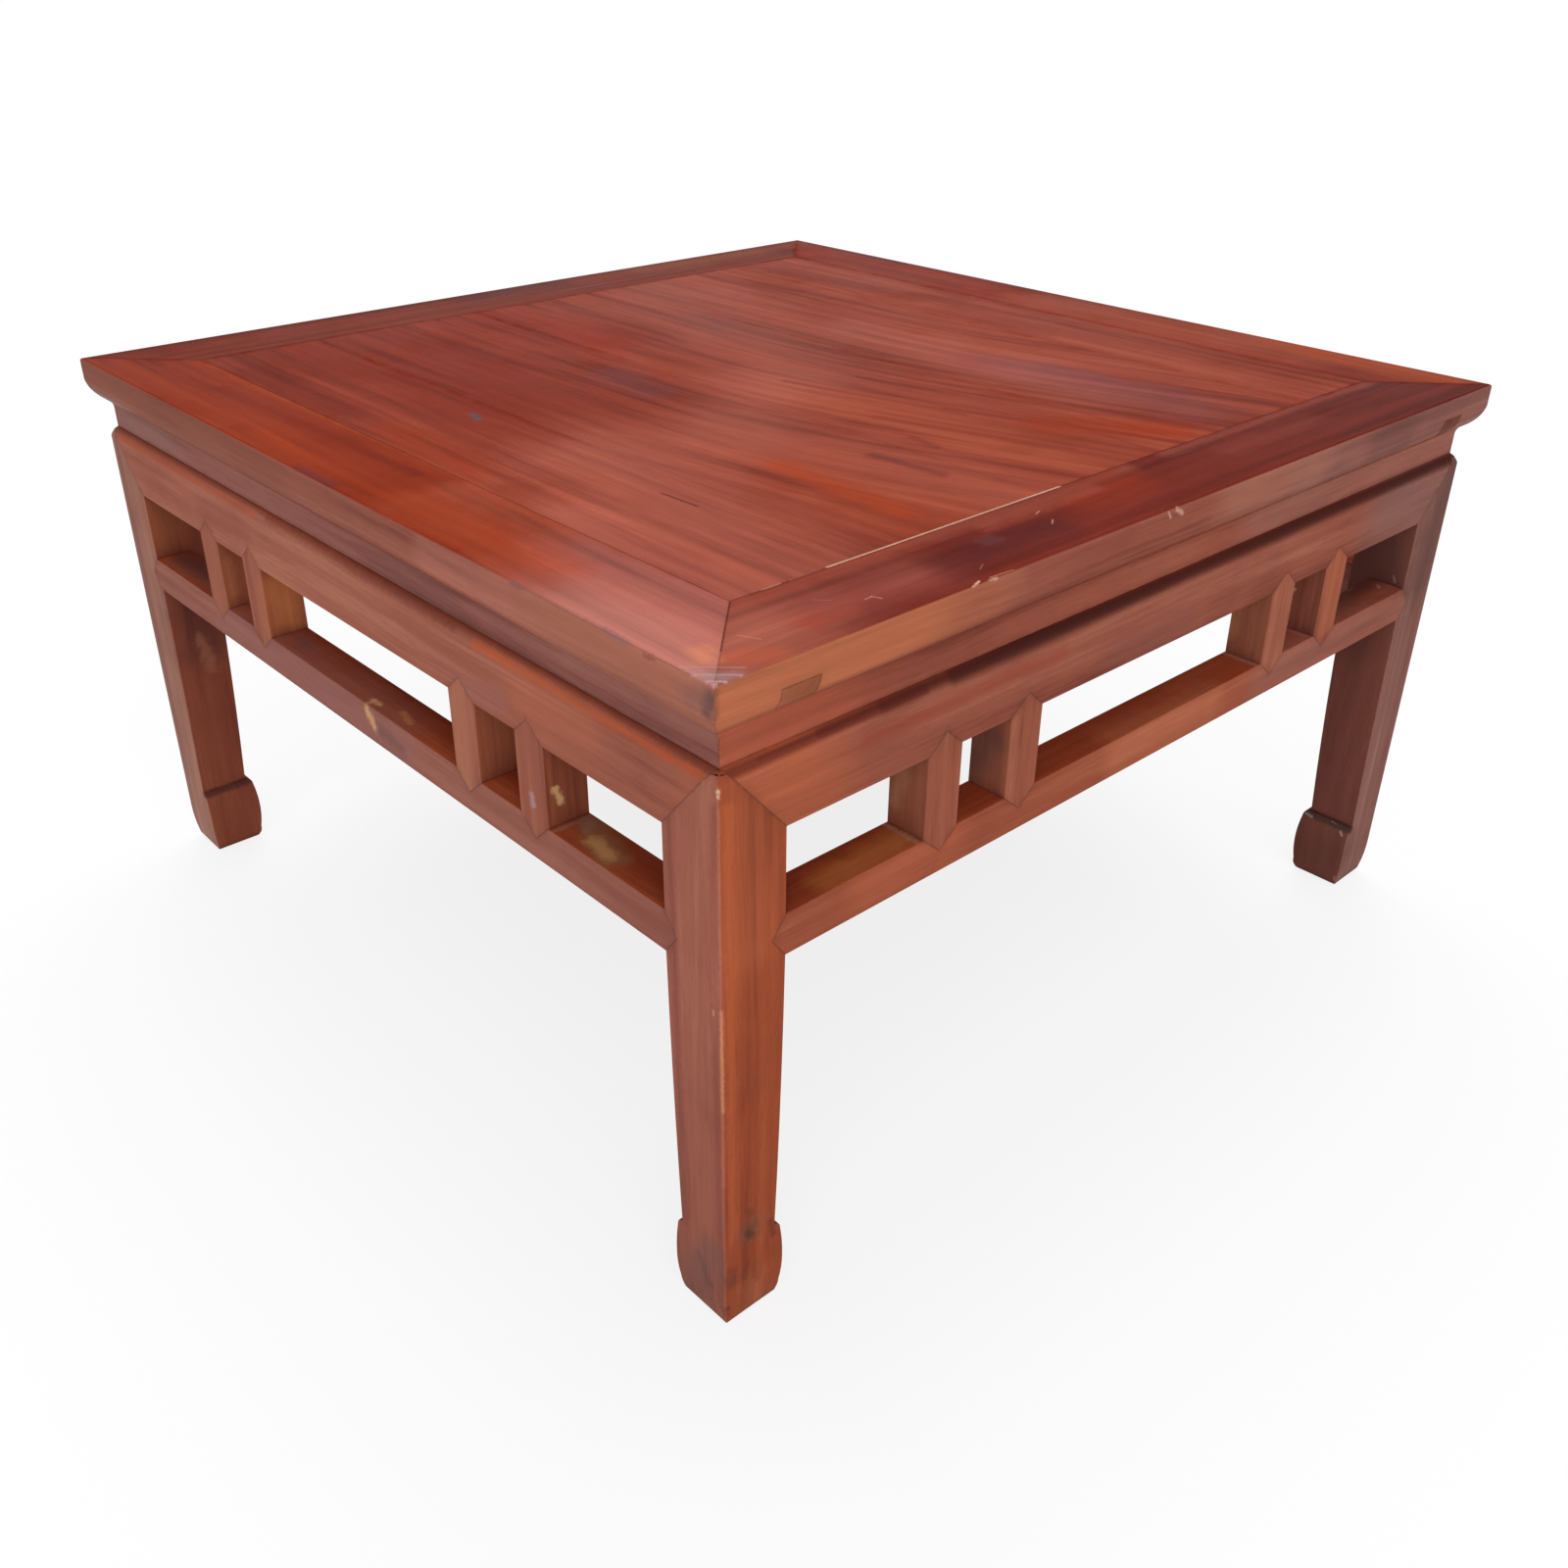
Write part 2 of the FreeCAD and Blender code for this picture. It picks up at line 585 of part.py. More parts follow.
# Panel and battens
def make_board(number, left_share, right_share):
    board = new_piece(f"panel_board_{number}")
    half = f"({RAIL_INNER} - panel_seam)"
    reach = f"({half} + tongue_length)"
    roof = f"({PANEL_UNDER} + dovetail_height + joint_play)"
    section = [(f"-{reach}", PANEL_UNDER)]
    for place in (-1, 0, 1):
        middle = f"{place}*batten_spacing"
        section.append((f"{middle} - dovetail_root/2 - joint_play", PANEL_UNDER))
        section.append((f"{middle} - dovetail_tip/2 - joint_play", roof))
        section.append((f"{middle} + dovetail_tip/2 + joint_play", roof))
        section.append((f"{middle} + dovetail_root/2 + joint_play", PANEL_UNDER))
    section.append((reach, PANEL_UNDER))
    section.append((reach, f"{PANEL_UNDER} + panel_tongue"))
    section.append((half, f"{PANEL_UNDER} + panel_tongue"))
    section.append((half, "table_height"))
    section.append((f"-{half}", "table_height"))
    section.append((f"-{half}", f"{PANEL_UNDER} + panel_tongue"))
    section.append((f"-{reach}", f"{PANEL_UNDER} + panel_tongue"))

    # the outer boards carry a tongue along their free edge as well
    left_tongue = "tongue_length" if left_share == 0 else "0"
    right_tongue = "tongue_length" if right_share == 1 else "0"
    left = f"(-{half} + 2*{half}*{left_share} - {left_tongue})"
    right = f"(-{half} + 2*{half}*{right_share} + {right_tongue})"
    extrude(board, "Pad", "Plank", "YZ_Plane", (section,), f"{right} - {left}", offset=left)
    for name, share, low, high in (("LeftRabbet", left_share == 0, f"-{reach}", f"-{half}"),
                                   ("RightRabbet", right_share == 1, half, reach)):
        if share:
            block(board, "Subtractive", name,
                  (low, f"-{reach} - overrun", f"{PANEL_UNDER} + panel_tongue"),
                  (high, f"{reach} + overrun", "table_height + overrun"))


def make_batten(name, place):
    batten = new_piece(f"batten_{name}")
    middle = f"{place}*batten_spacing"
    under = f"({PANEL_UNDER} - batten_height)"
    section = (
        (f"{middle} - batten_width/2", under),
        (f"{middle} + batten_width/2", under),
        (f"{middle} + batten_width/2", PANEL_UNDER),
        (f"{middle} + dovetail_root/2", PANEL_UNDER),
        (f"{middle} + dovetail_tip/2", f"{PANEL_UNDER} + dovetail_height"),
        (f"{middle} - dovetail_tip/2", f"{PANEL_UNDER} + dovetail_height"),
        (f"{middle} - dovetail_root/2", PANEL_UNDER),
        (f"{middle} - batten_width/2", PANEL_UNDER),
    )
    extrude(batten, "Pad", "Bar", "YZ_Plane", (section,), f"2*{RAIL_INNER}", middle=True)
    block(batten, "Additive", "Tenons",
          (f"-{RAIL_INNER} - batten_tenon_length", f"{middle} - batten_tenon_width/2",
           BATTEN_TENON_UNDER),
          (f"{RAIL_INNER} + batten_tenon_length", f"{middle} + batten_tenon_width/2",
           BATTEN_TENON_TOP))


# The table
for corner, (across, along, turn) in CORNERS.items():
    make_leg(corner, (across, along), turn)
for side, (across, along, turn) in SIDES.items():
    outward = (across, along)
    make_stretcher(side, outward, turn)
    for number, start in enumerate(STRUT_STARTS, start=1):
        make_strut(side, outward, turn, number, start)
    make_apron(side, outward, turn)
    make_waist(side, outward, turn)
    if side in ("left", "right"):
        make_long_rail(side, outward, turn)
    else:
        make_short_rail(side, outward, turn)
for number, shares in enumerate(zip(SEAM_SHARES, SEAM_SHARES[1:]), start=1):
    make_board(number, *shares)
for name, place in (("front", -1), ("middle", 0), ("back", 1)):
    make_batten(name, place)
document.recompute()

# Checks and files
for item in document.Objects:
    if "Invalid" in item.State or "Error" in item.State:
        raise RuntimeError(f"{item.Name} failed: {item.State}")
for piece in pieces:
    shape = piece.Shape
    if shape.isNull() or not shape.isValid() or len(shape.Solids) != 1:
        raise RuntimeError(f"{piece.Label} has no single valid solid")
os.makedirs("parts", exist_ok=True)
for piece in pieces:
    piece.Shape.exportStep(f"parts/{piece.Label}.step")
print(f"{len(pieces)} pieces written")
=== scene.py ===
from collections import namedtuple
from math import pi, radians

import bmesh
import bpy
from mathutils import Matrix, Vector
from mathutils.bvhtree import BVHTree


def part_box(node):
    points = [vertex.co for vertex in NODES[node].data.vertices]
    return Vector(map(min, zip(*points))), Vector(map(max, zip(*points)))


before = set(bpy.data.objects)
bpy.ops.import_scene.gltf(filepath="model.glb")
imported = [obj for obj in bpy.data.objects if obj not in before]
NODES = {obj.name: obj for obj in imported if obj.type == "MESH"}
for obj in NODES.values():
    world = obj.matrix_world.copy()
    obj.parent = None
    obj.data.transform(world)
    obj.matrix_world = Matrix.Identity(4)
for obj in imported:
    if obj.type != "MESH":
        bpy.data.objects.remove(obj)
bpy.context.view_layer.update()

MM = 0.001


# ------------------------------------ shader graphs
class Graph:
    """Short calls for making shader nodes."""

    def __init__(self, tree):
        self.tree = tree

    def put(self, kind, inputs=None, **settings):
        node = self.tree.nodes.new(kind)
        for key, value in settings.items():
            setattr(node, key, value)
        for key, value in (inputs or {}).items():
            if isinstance(value, bpy.types.NodeSocket):
                self.tree.links.new(value, node.inputs[key])
            else:
                node.inputs[key].default_value = value
        return node

    def math(self, operation, a, b=0.0, c=0.0, clamp=False):
        inputs = {0: a, 1: b, 2: c}
        return self.put("ShaderNodeMath", inputs, operation=operation, use_clamp=clamp).outputs[0]

    def vector(self, operation, a, b=(0, 0, 0), output=0):
        return self.put("ShaderNodeVectorMath", {0: a, 1: b}, operation=operation).outputs[output]

    def scaled(self, a, factor):
        return self.put("ShaderNodeVectorMath", {0: a, 3: factor}, operation="SCALE").outputs[0]

    def split(self, a):
        return self.put("ShaderNodeSeparateXYZ", {0: a}).outputs

    def join(self, x, y, z):
        return self.put("ShaderNodeCombineXYZ", {0: x, 1: y, 2: z}).outputs[0]

    def mix(self, factor, a, b):
        return self.put("ShaderNodeMix", {0: factor, 6: a, 7: b}, data_type="RGBA").outputs[2]

    def ramp(self, value, low, high, start=0.0, end=1.0):
        """A soft step from start to end, while value runs from low to high."""
        return self.put("ShaderNodeMapRange", {0: value, 1: low, 2: high, 3: start, 4: end},
                        interpolation_type="SMOOTHSTEP").outputs[0]

    def noise(self, vector, detail=2.0, roughness=0.5, output=0):
        inputs = {"Vector": vector, "Scale": 1.0, "Detail": detail, "Roughness": roughness}
        return self.put("ShaderNodeTexNoise", inputs).outputs[output]

    def noise_line(self, value, detail=2.0):
        return self.put("ShaderNodeTexNoise", {"W": value, "Scale": 1.0, "Detail": detail},
                        noise_dimensions="1D").outputs[0]

    def directly_seen(self):
        """1 for what the camera, a mirror or clear glass shows, 0 for what only lights the scene."""
        rays = self.put("ShaderNodeLightPath").outputs
        mirrored = self.math("MAXIMUM", rays["Is Camera Ray"], rays["Is Glossy Ray"])
        return self.math("MAXIMUM", mirrored, rays["Is Transmission Ray"])


def srgb(r, g, b):
    """A colour written as 0 to 255, as linear numbers."""
    values = [c / 255 for c in (r, g, b)]
    return (*(v / 12.92 if v <= 0.04045 else ((v + 0.055) / 1.055) ** 2.4 for v in values), 1.0)


def new_group(name, inputs, outputs):
    tree = bpy.data.node_groups.new(name, "ShaderNodeTree")
    for label, kind, value in inputs:
        socket = tree.interface.new_socket(label, in_out="INPUT", socket_type="NodeSocket" + kind)
        socket.default_value = value
    for label, kind in outputs:
        tree.interface.new_socket(label, in_out="OUTPUT", socket_type="NodeSocket" + kind)
    graph = Graph(tree)
    return graph, graph.put("NodeGroupInput").outputs, graph.put("NodeGroupOutput")


# ------------------------------------ the wood
WANDER = 0.012  # metres: the fibres stray by up to half of this
# noise cells per metre along, across and into the wood
LONG_WAVES = (3.2, 7.0, 7.0)
BROAD_BANDS = (1.7, 15.0, 15.0)
STREAKS = (5.0, 95.0, 95.0)
FINE_FIBRES = (24.0, 620.0, 620.0)
PORES = (85.0, 1900.0, 1900.0)


def make_wood():
    """Grain vector in metres: along the fibres, across them, and into the wood."""
    g, given, result = new_group("wood", (
        ("Grain", "Vector", (0, 0, 0)), ("Pith", "Vector", (0, 0, -0.2)),
        ("Ring width", "Float", 0.006), ("Rings", "Float", 0.5),
        ("Broad", "Float", 1.0), ("Streaks", "Float", 1.0),
        *((shade, "Color", (0, 0, 0, 1)) for shade in ("Dark", "Middle", "Light")),
    ), (("Color", "Color"), ("Tone", "Float"), ("Pores", "Float"), ("Height", "Float")))
    u, v, w = g.split(given["Grain"])
    slow = g.noise(g.vector("MULTIPLY", g.join(u, v, w), LONG_WAVES), output=1)
    shift = g.scaled(g.vector("SUBTRACT", slow, (0.5, 0.5, 0.5)), WANDER)
    _, shift_v, shift_w = g.split(shift)
    v = g.math("ADD", v, shift_v)
    w = g.math("ADD", w, shift_w)

    drift, pith_v, pith_w = g.split(given["Pith"])
    across = g.math("SUBTRACT", v, pith_v)
    deep = g.math("SUBTRACT", g.math("MULTIPLY_ADD", u, drift, w), pith_w)
    square = g.math("ADD", g.math("MULTIPLY", across, across), g.math("MULTIPLY", deep, deep))
    radius = g.math("SQRT", square)
    ring = g.noise_line(g.math("DIVIDE", radius, given["Ring width"]), 2.5)
    bent = g.join(u, v, w)

    broad = g.noise(g.vector("MULTIPLY", bent, BROAD_BANDS), 2.0, 0.55)
    streak = g.noise(g.vector("MULTIPLY", bent, STREAKS), 3.0, 0.6)
    fine = g.noise(g.vector("MULTIPLY", bent, FINE_FIBRES), 2.0, 0.6)
    pore = g.noise(g.vector("MULTIPLY", bent, PORES), 1.0, 0.5)
    pores = g.ramp(pore, 0.58, 0.72)

    # a half is middle wood, and each pattern moves it by its own share
    tone = 0.5
    for pattern, share in ((broad, g.math("MULTIPLY", given["Broad"], 1.5)),
                           (streak, g.math("MULTIPLY", given["Streaks"], 0.95)),
                           (ring, given["Rings"]), (fine, 0.42)):
        tone = g.math("ADD", tone, g.math("MULTIPLY", g.math("SUBTRACT", pattern, 0.5), share))
    colour = g.mix(g.ramp(tone, 0.05, 0.55), given["Dark"], given["Middle"])
    colour = g.mix(g.ramp(tone, 0.5, 1.0), colour, given["Light"])
    colour = g.mix(g.math("MULTIPLY", pores, 0.28), colour, given["Dark"])

    height = g.math("ADD", g.math("MULTIPLY", fine, 0.5), g.math("MULTIPLY", streak, 0.6))
    height = g.math("SUBTRACT", height, g.math("MULTIPLY", pores, 0.55))
    for label, value in (("Color", colour), ("Tone", tone), ("Pores", pores), ("Height", height)):
        g.tree.links.new(value, result.inputs[label])
    return g.tree


def after(g, place, value):
    """The same place, worked out only after value: one long chain keeps few values at a time."""
    inputs = {0: value, 1: (1e-13, 1e-13, 1e-13), 2: place}
    return g.put("ShaderNodeVectorMath", inputs, operation="MULTIPLY_ADD").outputs[0]


def make_stroke():
    """1 within a width of the line from A to B, 0 further off, with a ragged border."""
    g, given, result = new_group("stroke", (
        ("Place", "Vector", (0, 0, 0)), ("A", "Vector", (0, 0, 0)), ("B", "Vector", (0, 0, 0)),
        ("Width", "Float", 0.01), ("Core", "Float", 0.3), ("Ragged", "Float", 0.4),
        ("Before", "Float", 0.0),
    ), (("Mask", "Float"),))
    place, a, b = after(g, given["Place"], given["Before"]), given["A"], given["B"]
    run = g.vector("SUBTRACT", b, a)
    away = g.vector("SUBTRACT", place, a)
    length = g.math("MAXIMUM", g.vector("DOT_PRODUCT", run, run, 1), 1e-9)
    share = g.math("DIVIDE", g.vector("DOT_PRODUCT", away, run, 1), length, clamp=True)
    off = g.vector("LENGTH", g.vector("SUBTRACT", away, g.scaled(run, share)), output=1)
    off = g.math("DIVIDE", off, given["Width"])
    rough = g.noise(g.scaled(place, g.math("DIVIDE", 1.3, given["Width"])), 3.0, 0.6)
    ragged = g.math("MULTIPLY", given["Ragged"], 2.0)
    off = g.math("MULTIPLY_ADD", g.math("SUBTRACT", rough, 0.5), ragged, off)
    g.tree.links.new(g.ramp(off, given["Core"], 1.0, 1.0, 0.0), result.inputs["Mask"])
    return g.tree


def make_near_line():
    """The smaller of Far and the distance to the line that starts at A and runs by Run."""
    g, given, result = new_group("near_line", (
        ("Place", "Vector", (0, 0, 0)), ("A", "Vector", (0, 0, 0)), ("Run", "Vector", (0, 0, 0)),
        ("Inverse", "Float", 1.0), ("Far", "Float", 1.0),
    ), (("Distance", "Float"),))
    away = g.vector("SUBTRACT", after(g, given["Place"], given["Far"]), given["A"])
    share = g.math("MULTIPLY", g.vector("DOT_PRODUCT", away, given["Run"], 1), given["Inverse"], clamp=True)
    off = g.vector("LENGTH", g.vector("SUBTRACT", away, g.scaled(given["Run"], share)), output=1)
    g.tree.links.new(g.math("MINIMUM", off, given["Far"]), result.inputs["Distance"])
    return g.tree


WOOD = make_wood()
STROKE = make_stroke()
NEAR_LINE = make_near_line()

# for a grain along each axis: which coordinates run along, across and into the wood
AXES = {"x": (0, 1, 2), "y": (1, 0, 2), "z": (2, 0, 1)}


def shades(red, green, blue):
    """Dark, middle and light wood round a middle colour."""
    return (srgb(red * 0.78, green * 0.66, blue * 0.64), srgb(red, green, blue),
            srgb(red * 1.13, green * 1.27, blue * 1.30))


# each piece has tones for faces that look up, along x and along y, and their differences are painted light:
# the greyer upright tones, such as waist_x, leg_x, leg_pale_x and leg_dark_y, carry a painted sheen, and the
# darker tones of inner faces, such as leg_dark_x and leg_inner_y, painted shade
TONES = {
    "panel": shades(139, 57, 38),
    "rail_left": shades(134, 44, 18),
    "rail_front": shades(108, 35, 24),
    "rail_right": shades(128, 38, 15),
    "rail_back": shades(112, 39, 23),
    "band_y": shades(147, 79, 60),
    "band_x": shades(145, 78, 60),
    "waist_y": shades(151, 79, 60),
    "waist_x": shades(149, 89, 78),
    "apron_y": shades(147, 79, 60),
    "apron_x": shades(156, 86, 65),
    "bevel": shades(130, 56, 34),
    "stretcher_y": shades(153, 78, 53),
    "stretcher_x": shades(141, 77, 63),
    "stretcher_top": shades(146, 65, 40),
    "strut_out": shades(154, 84, 62),
    "strut_in": shades(142, 74, 48),
    "leg_y": shades(157, 73, 41),
    "leg_x": shades(160, 90, 70),
    "leg_dark_y": shades(132, 86, 75),
    "leg_dark_x": shades(108, 51, 36),
    "leg_pale_x": shades(152, 99, 82),
    "leg_inner_y": shades(128, 62, 42),
    "leg_plain": shades(136, 66, 45),
    "batten": shades(132, 78, 52),
}

# ------------------------------------ stains, chips and seams
# millimetres from the middle of the table to its edge, waist and side, and to the legs' inner faces,
# and up to its top and to the stretchers
EDGE, WAIST, SIDE, INNER = 420, 405, 411, 361
TOP, RUNG = 480, 312

# how a mark is laid on: the share that is solid, how ragged its border is, the faces that take it,
# and how much duller it is than the wax
How = namedtuple("How", "core ragged face dull", defaults=(None, None))
SOFT = How(0.0, 0.35)
UP = How(0.0, 0.35, "z")
SIDE_ON = How(0.1, 0.3, "side")
CHIP = How(0.1, 0.8, dull=0.2)
LINE = How(0.3, 0.7)
ANY = ""
MARKS = []


def mark(pieces, rows):
    """Marks for the pieces whose name starts so: from, to, half width in mm, colour, strength, how."""
    MARKS.extend((pieces, *row) for row in rows)


# the panel: darker at the back left, redder bands, purple and orange places near the front, and painted
# sheen: pale places at the front and greyer bands through the middle
mark("panel", (
    ((-262, 400, TOP), (-225, 60, TOP), 170, (114, 32, 14), 0.75, UP),
    ((-80, 330, TOP), (-50, 170, TOP), 90, (128, 32, 12), 0.6, UP),
    ((-325, 70, TOP), (-328, -60, TOP), 30, (142, 48, 20), 0.6, UP),
    ((-328, 270, TOP), (-328, 130, TOP), 36, (110, 30, 14), 0.6, UP),
    ((-160, 320, TOP), (-160, 170, TOP), 60, (126, 32, 12), 0.5, UP),
    # painted sheen and painted reflection: pale places at the front left and front, and greyer bands from the
    # back right through the middle
    ((-300, -350, TOP), (-240, -90, TOP), 105, (160, 84, 68), 0.75, UP),
    ((-90, -340, TOP), (-130, -80, TOP), 90, (158, 78, 60), 0.6, UP),
    ((150, 340, TOP), (10, -20, TOP), 110, (146, 74, 60), 0.7, UP),
    ((-350, -350, TOP), (-335, -170, TOP), 56, (162, 88, 74), 0.6, UP),
    ((-20, -20, TOP), (-150, -120, TOP), 70, (156, 82, 66), 0.5, UP),
    ((150, 60, TOP), (150, -220, TOP), 60, (152, 80, 66), 0.5, UP),
    ((280, 300, TOP), (292, 110, TOP), 30, (116, 38, 22), 0.7, UP),
    ((262, 60, TOP), (268, -60, TOP), 34, (124, 42, 22), 0.5, UP),
    ((160, -110, TOP), (170, -290, TOP), 55, (132, 68, 62), 0.75, UP),
    ((178, -150, TOP), (196, -270, TOP), 26, (116, 58, 60), 0.5, UP),
    ((-108, 80, TOP), (-116, 20, TOP), 34, (112, 58, 58), 0.5, UP),
    ((72, 195, TOP), (70, 150, TOP), 26, (118, 64, 62), 0.4, UP),
    ((-165, -190, TOP), (-168, -310, TOP), 20, (152, 56, 22), 0.6, UP),
    ((56, -250, TOP), (110, -320, TOP), 40, (142, 46, 14), 0.7, UP),
    ((-100, -215, TOP), (-94, -275, TOP), 10, (96, 40, 36), 0.6, UP),
    ((-48, -205, TOP), (-52, -232, TOP), 7, (104, 40, 32), 0.5, UP),
    ((-14, -30, TOP), (26, -190, TOP), 6, (112, 36, 22), 0.55, UP),
    ((26, -170, TOP), (92, -345, TOP), 6, (116, 36, 20), 0.55, UP),
    ((40, -60, TOP), (58, -130, TOP), 4, (108, 36, 24), 0.5, UP),
    ((-30, -150, TOP), (20, -300, TOP), 5, (120, 40, 22), 0.45, UP),
    ((66, -250, TOP), (60, -345, TOP), 5, (118, 36, 18), 0.4, UP),
    ((-218, 330, TOP), (-214, 120, TOP), 9, (104, 26, 14), 0.5, UP),
    ((-258, 57, TOP), (-262, 41, TOP), 5.5, (84, 80, 86), 0.75, CHIP),
    ((-262, -180, TOP), (-260, -214, TOP), 1.2, (70, 30, 24), 0.8, LINE),
))

# the frame's top
mark("long_rail_left", (
    # partly wear, partly painted sheen: pale pinkish places at the front end
    ((-420, -310, TOP), (-405, -440, TOP), 130, (173, 111, 100), 0.82, UP),
    ((-358, -215, TOP), (-360, -400, TOP), 48, (160, 89, 79), 0.85, UP),
    ((-358, -90, TOP), (-356, -200, TOP), 34, (158, 72, 50), 0.7, UP),
    ((-395, -90, TOP), (-395, -235, TOP), 40, (160, 66, 38), 0.6, UP),
    ((-402, 120, TOP), (-402, -120, TOP), 16, (148, 52, 18), 0.5, UP),
    ((-370, 250, TOP), (-364, -40, TOP), 11, (108, 28, 12), 0.6, UP),
    ((-418, 24, TOP), (-418, -22, TOP), 10, (88, 44, 46), 0.6, UP),
    ((-346.5, 330, TOP), (-346.5, -300, TOP), 1.6, (164, 76, 48), 0.35, LINE),
))
mark("short_rail_front", (
    # partly wear, partly painted sheen: a pale pinkish patch by the left corner
    ((-430, -390, TOP), (-366, -385, TOP), 84, (166, 92, 75), 0.85, UP),
    ((-330, -396, TOP), (-305, -396, TOP), 17, (160, 62, 42), 0.5, UP),
    ((-390, -402, TOP), (-372, -412, TOP), 16, (178, 84, 56), 0.5, UP),
    ((-300, -380, TOP), (-240, -385, TOP), 50, (134, 67, 57), 0.75, UP),
    ((-210, -390, TOP), (-120, -390, TOP), 34, (78, 30, 28), 0.75, UP),
    ((-340, -349, TOP), (10, -350, TOP), 17, (142, 67, 51), 0.7, UP),
    ((60, -349, TOP), (340, -349, TOP), 14, (138, 64, 50), 0.65, UP),
    ((-60, -372, TOP), (-10, -372, TOP), 34, (132, 42, 20), 0.7, UP),
    ((60, -392, TOP), (350, -392, TOP), 38, (104, 38, 28), 0.35, UP),
    ((-150, -361, TOP), (-40, -361, TOP), 13, (150, 72, 54), 0.5, UP),
    ((-168, -379, TOP), (-162, -379, TOP), 11, (112, 74, 76), 0.3, UP),
    ((100, -375, TOP), (220, -375, TOP), 20, (126, 54, 42), 0.5, UP),
))
mark("long_rail_right", (
    ((385, 10, TOP), (385, -260, TOP), 60, (156, 76, 52), 0.55, UP),
    ((420, -240, TOP), (400, -420, TOP), 55, (148, 62, 28), 0.8, UP),
    ((368, 330, TOP), (370, 120, TOP), 13, (92, 26, 14), 0.6, UP),
    ((412, 300, TOP), (408, 240, TOP), 13, (84, 42, 42), 0.55, UP),
    ((380, 60, TOP), (376, 0, TOP), 18, (146, 56, 26), 0.55, UP),
))
mark("short_rail_back", (
    ((-40, 400, TOP), (60, 392, TOP), 34, (78, 34, 30), 0.6, UP),
    ((180, 395, TOP), (330, 395, TOP), 38, (124, 62, 34), 0.6, UP),
    ((43, 371, TOP), (223, 371, TOP), 1.6, (148, 84, 62), 0.5, LINE),
))

# the frame's edge
mark("short_rail_front", (
    ((-425, -EDGE, 466), (-290, -EDGE, 466), 110, (180, 103, 68), 0.85, SIDE_ON),
    # painted reflection: greyer towards the far right end
    ((150, -EDGE, 468), (420, -EDGE, 468), 60, (143, 97, 88), 0.6, SIDE_ON),
    ((245, -EDGE, 470), (275, -EDGE, 470), 40, (106, 64, 56), 0.55, SIDE_ON),
    # painted reflection: paler and greyer right of the middle
    ((50, -EDGE, 470), (140, -EDGE, 470), 46, (162, 104, 86), 0.6, SIDE_ON),
    ((-170, -EDGE, 474), (-80, -EDGE, 474), 20, (128, 62, 52), 0.5, SIDE_ON),
))
mark("long_rail_left", (
    ((-376, -EDGE, 459), (-344, -EDGE, 459), 22, (156, 88, 54), 0.72, How(0.5, 0.2, "y")),
    ((-EDGE, -150, 468), (-EDGE, -225, 468), 30, (168, 100, 84), 0.7, SIDE_ON),
    ((-EDGE, -430, 466), (-EDGE, -265, 466), 70, (166, 100, 78), 0.75, SIDE_ON),
    ((-EDGE, 400, 466), (-EDGE, 90, 466), 70, (126, 66, 48), 0.7, SIDE_ON),
))
mark("short_rail_back", (
    ((-360, EDGE, 466), (-120, EDGE, 466), 60, (160, 88, 58), 0.5, SIDE_ON),
))
mark("long_rail_right", (
    ((EDGE, 60, 466), (EDGE, 260, 466), 60, (126, 62, 46), 0.5, SIDE_ON),
))

# worn corner and chips of the frame
mark(ANY, (
    ((-398, -383, TOP), (-403, -393, TOP), 13, (194, 120, 86), 0.55, How(0.0, 0.6, "z")),
    ((-420, -404, TOP), (-404, -420, TOP), 13, (152, 113, 112), 0.65, How(0.0, 0.7, "z")),
    ((-414, -409, TOP), (-409, -414, TOP), 5, (140, 118, 124), 0.5, How(0.0, 0.8, "z")),
    ((-421, -401, TOP), (-400, -420, TOP), 1.5, (192, 152, 144), 0.55, How(0.0, 1.2, dull=0.25)),
    ((-419, -391, TOP), (-394, -414, TOP), 1.2, (186, 142, 132), 0.5, How(0.0, 1.2, dull=0.2)),
    ((-420, -412, TOP), (-411, -420, TOP), 1.7, (200, 170, 164), 0.6, How(0.0, 1.2, dull=0.25)),
    ((-420, -420, 481), (-418, -418, TOP), 2.8, (196, 166, 164), 0.6, How(0.0, 0.8, dull=0.25)),
))
mark("long_rail_left", (
    ((-420, -417, 472), (-420, -414, 463), 9, (84, 60, 56), 0.75, How(0.0, 0.5)),
    ((-420, -410, 470), (-420, -400, 466), 12, (120, 84, 78), 0.5, How(0.0, 0.5)),
    ((-420, -348, 479), (-419, -328, TOP), 3.5, (140, 96, 100), 0.6, How(0.0, 0.8, dull=0.2)),
    ((-420, -250, 479), (-420, -240, 479), 3, (134, 88, 86), 0.8, CHIP),
    ((-420, -400, 479.5), (-420, -240, 479.5), 1.3, (120, 70, 58), 0.6, LINE),
    ((-420, -372, 478), (-420, -364, 477), 2.4, (96, 56, 48), 0.45, CHIP),
))
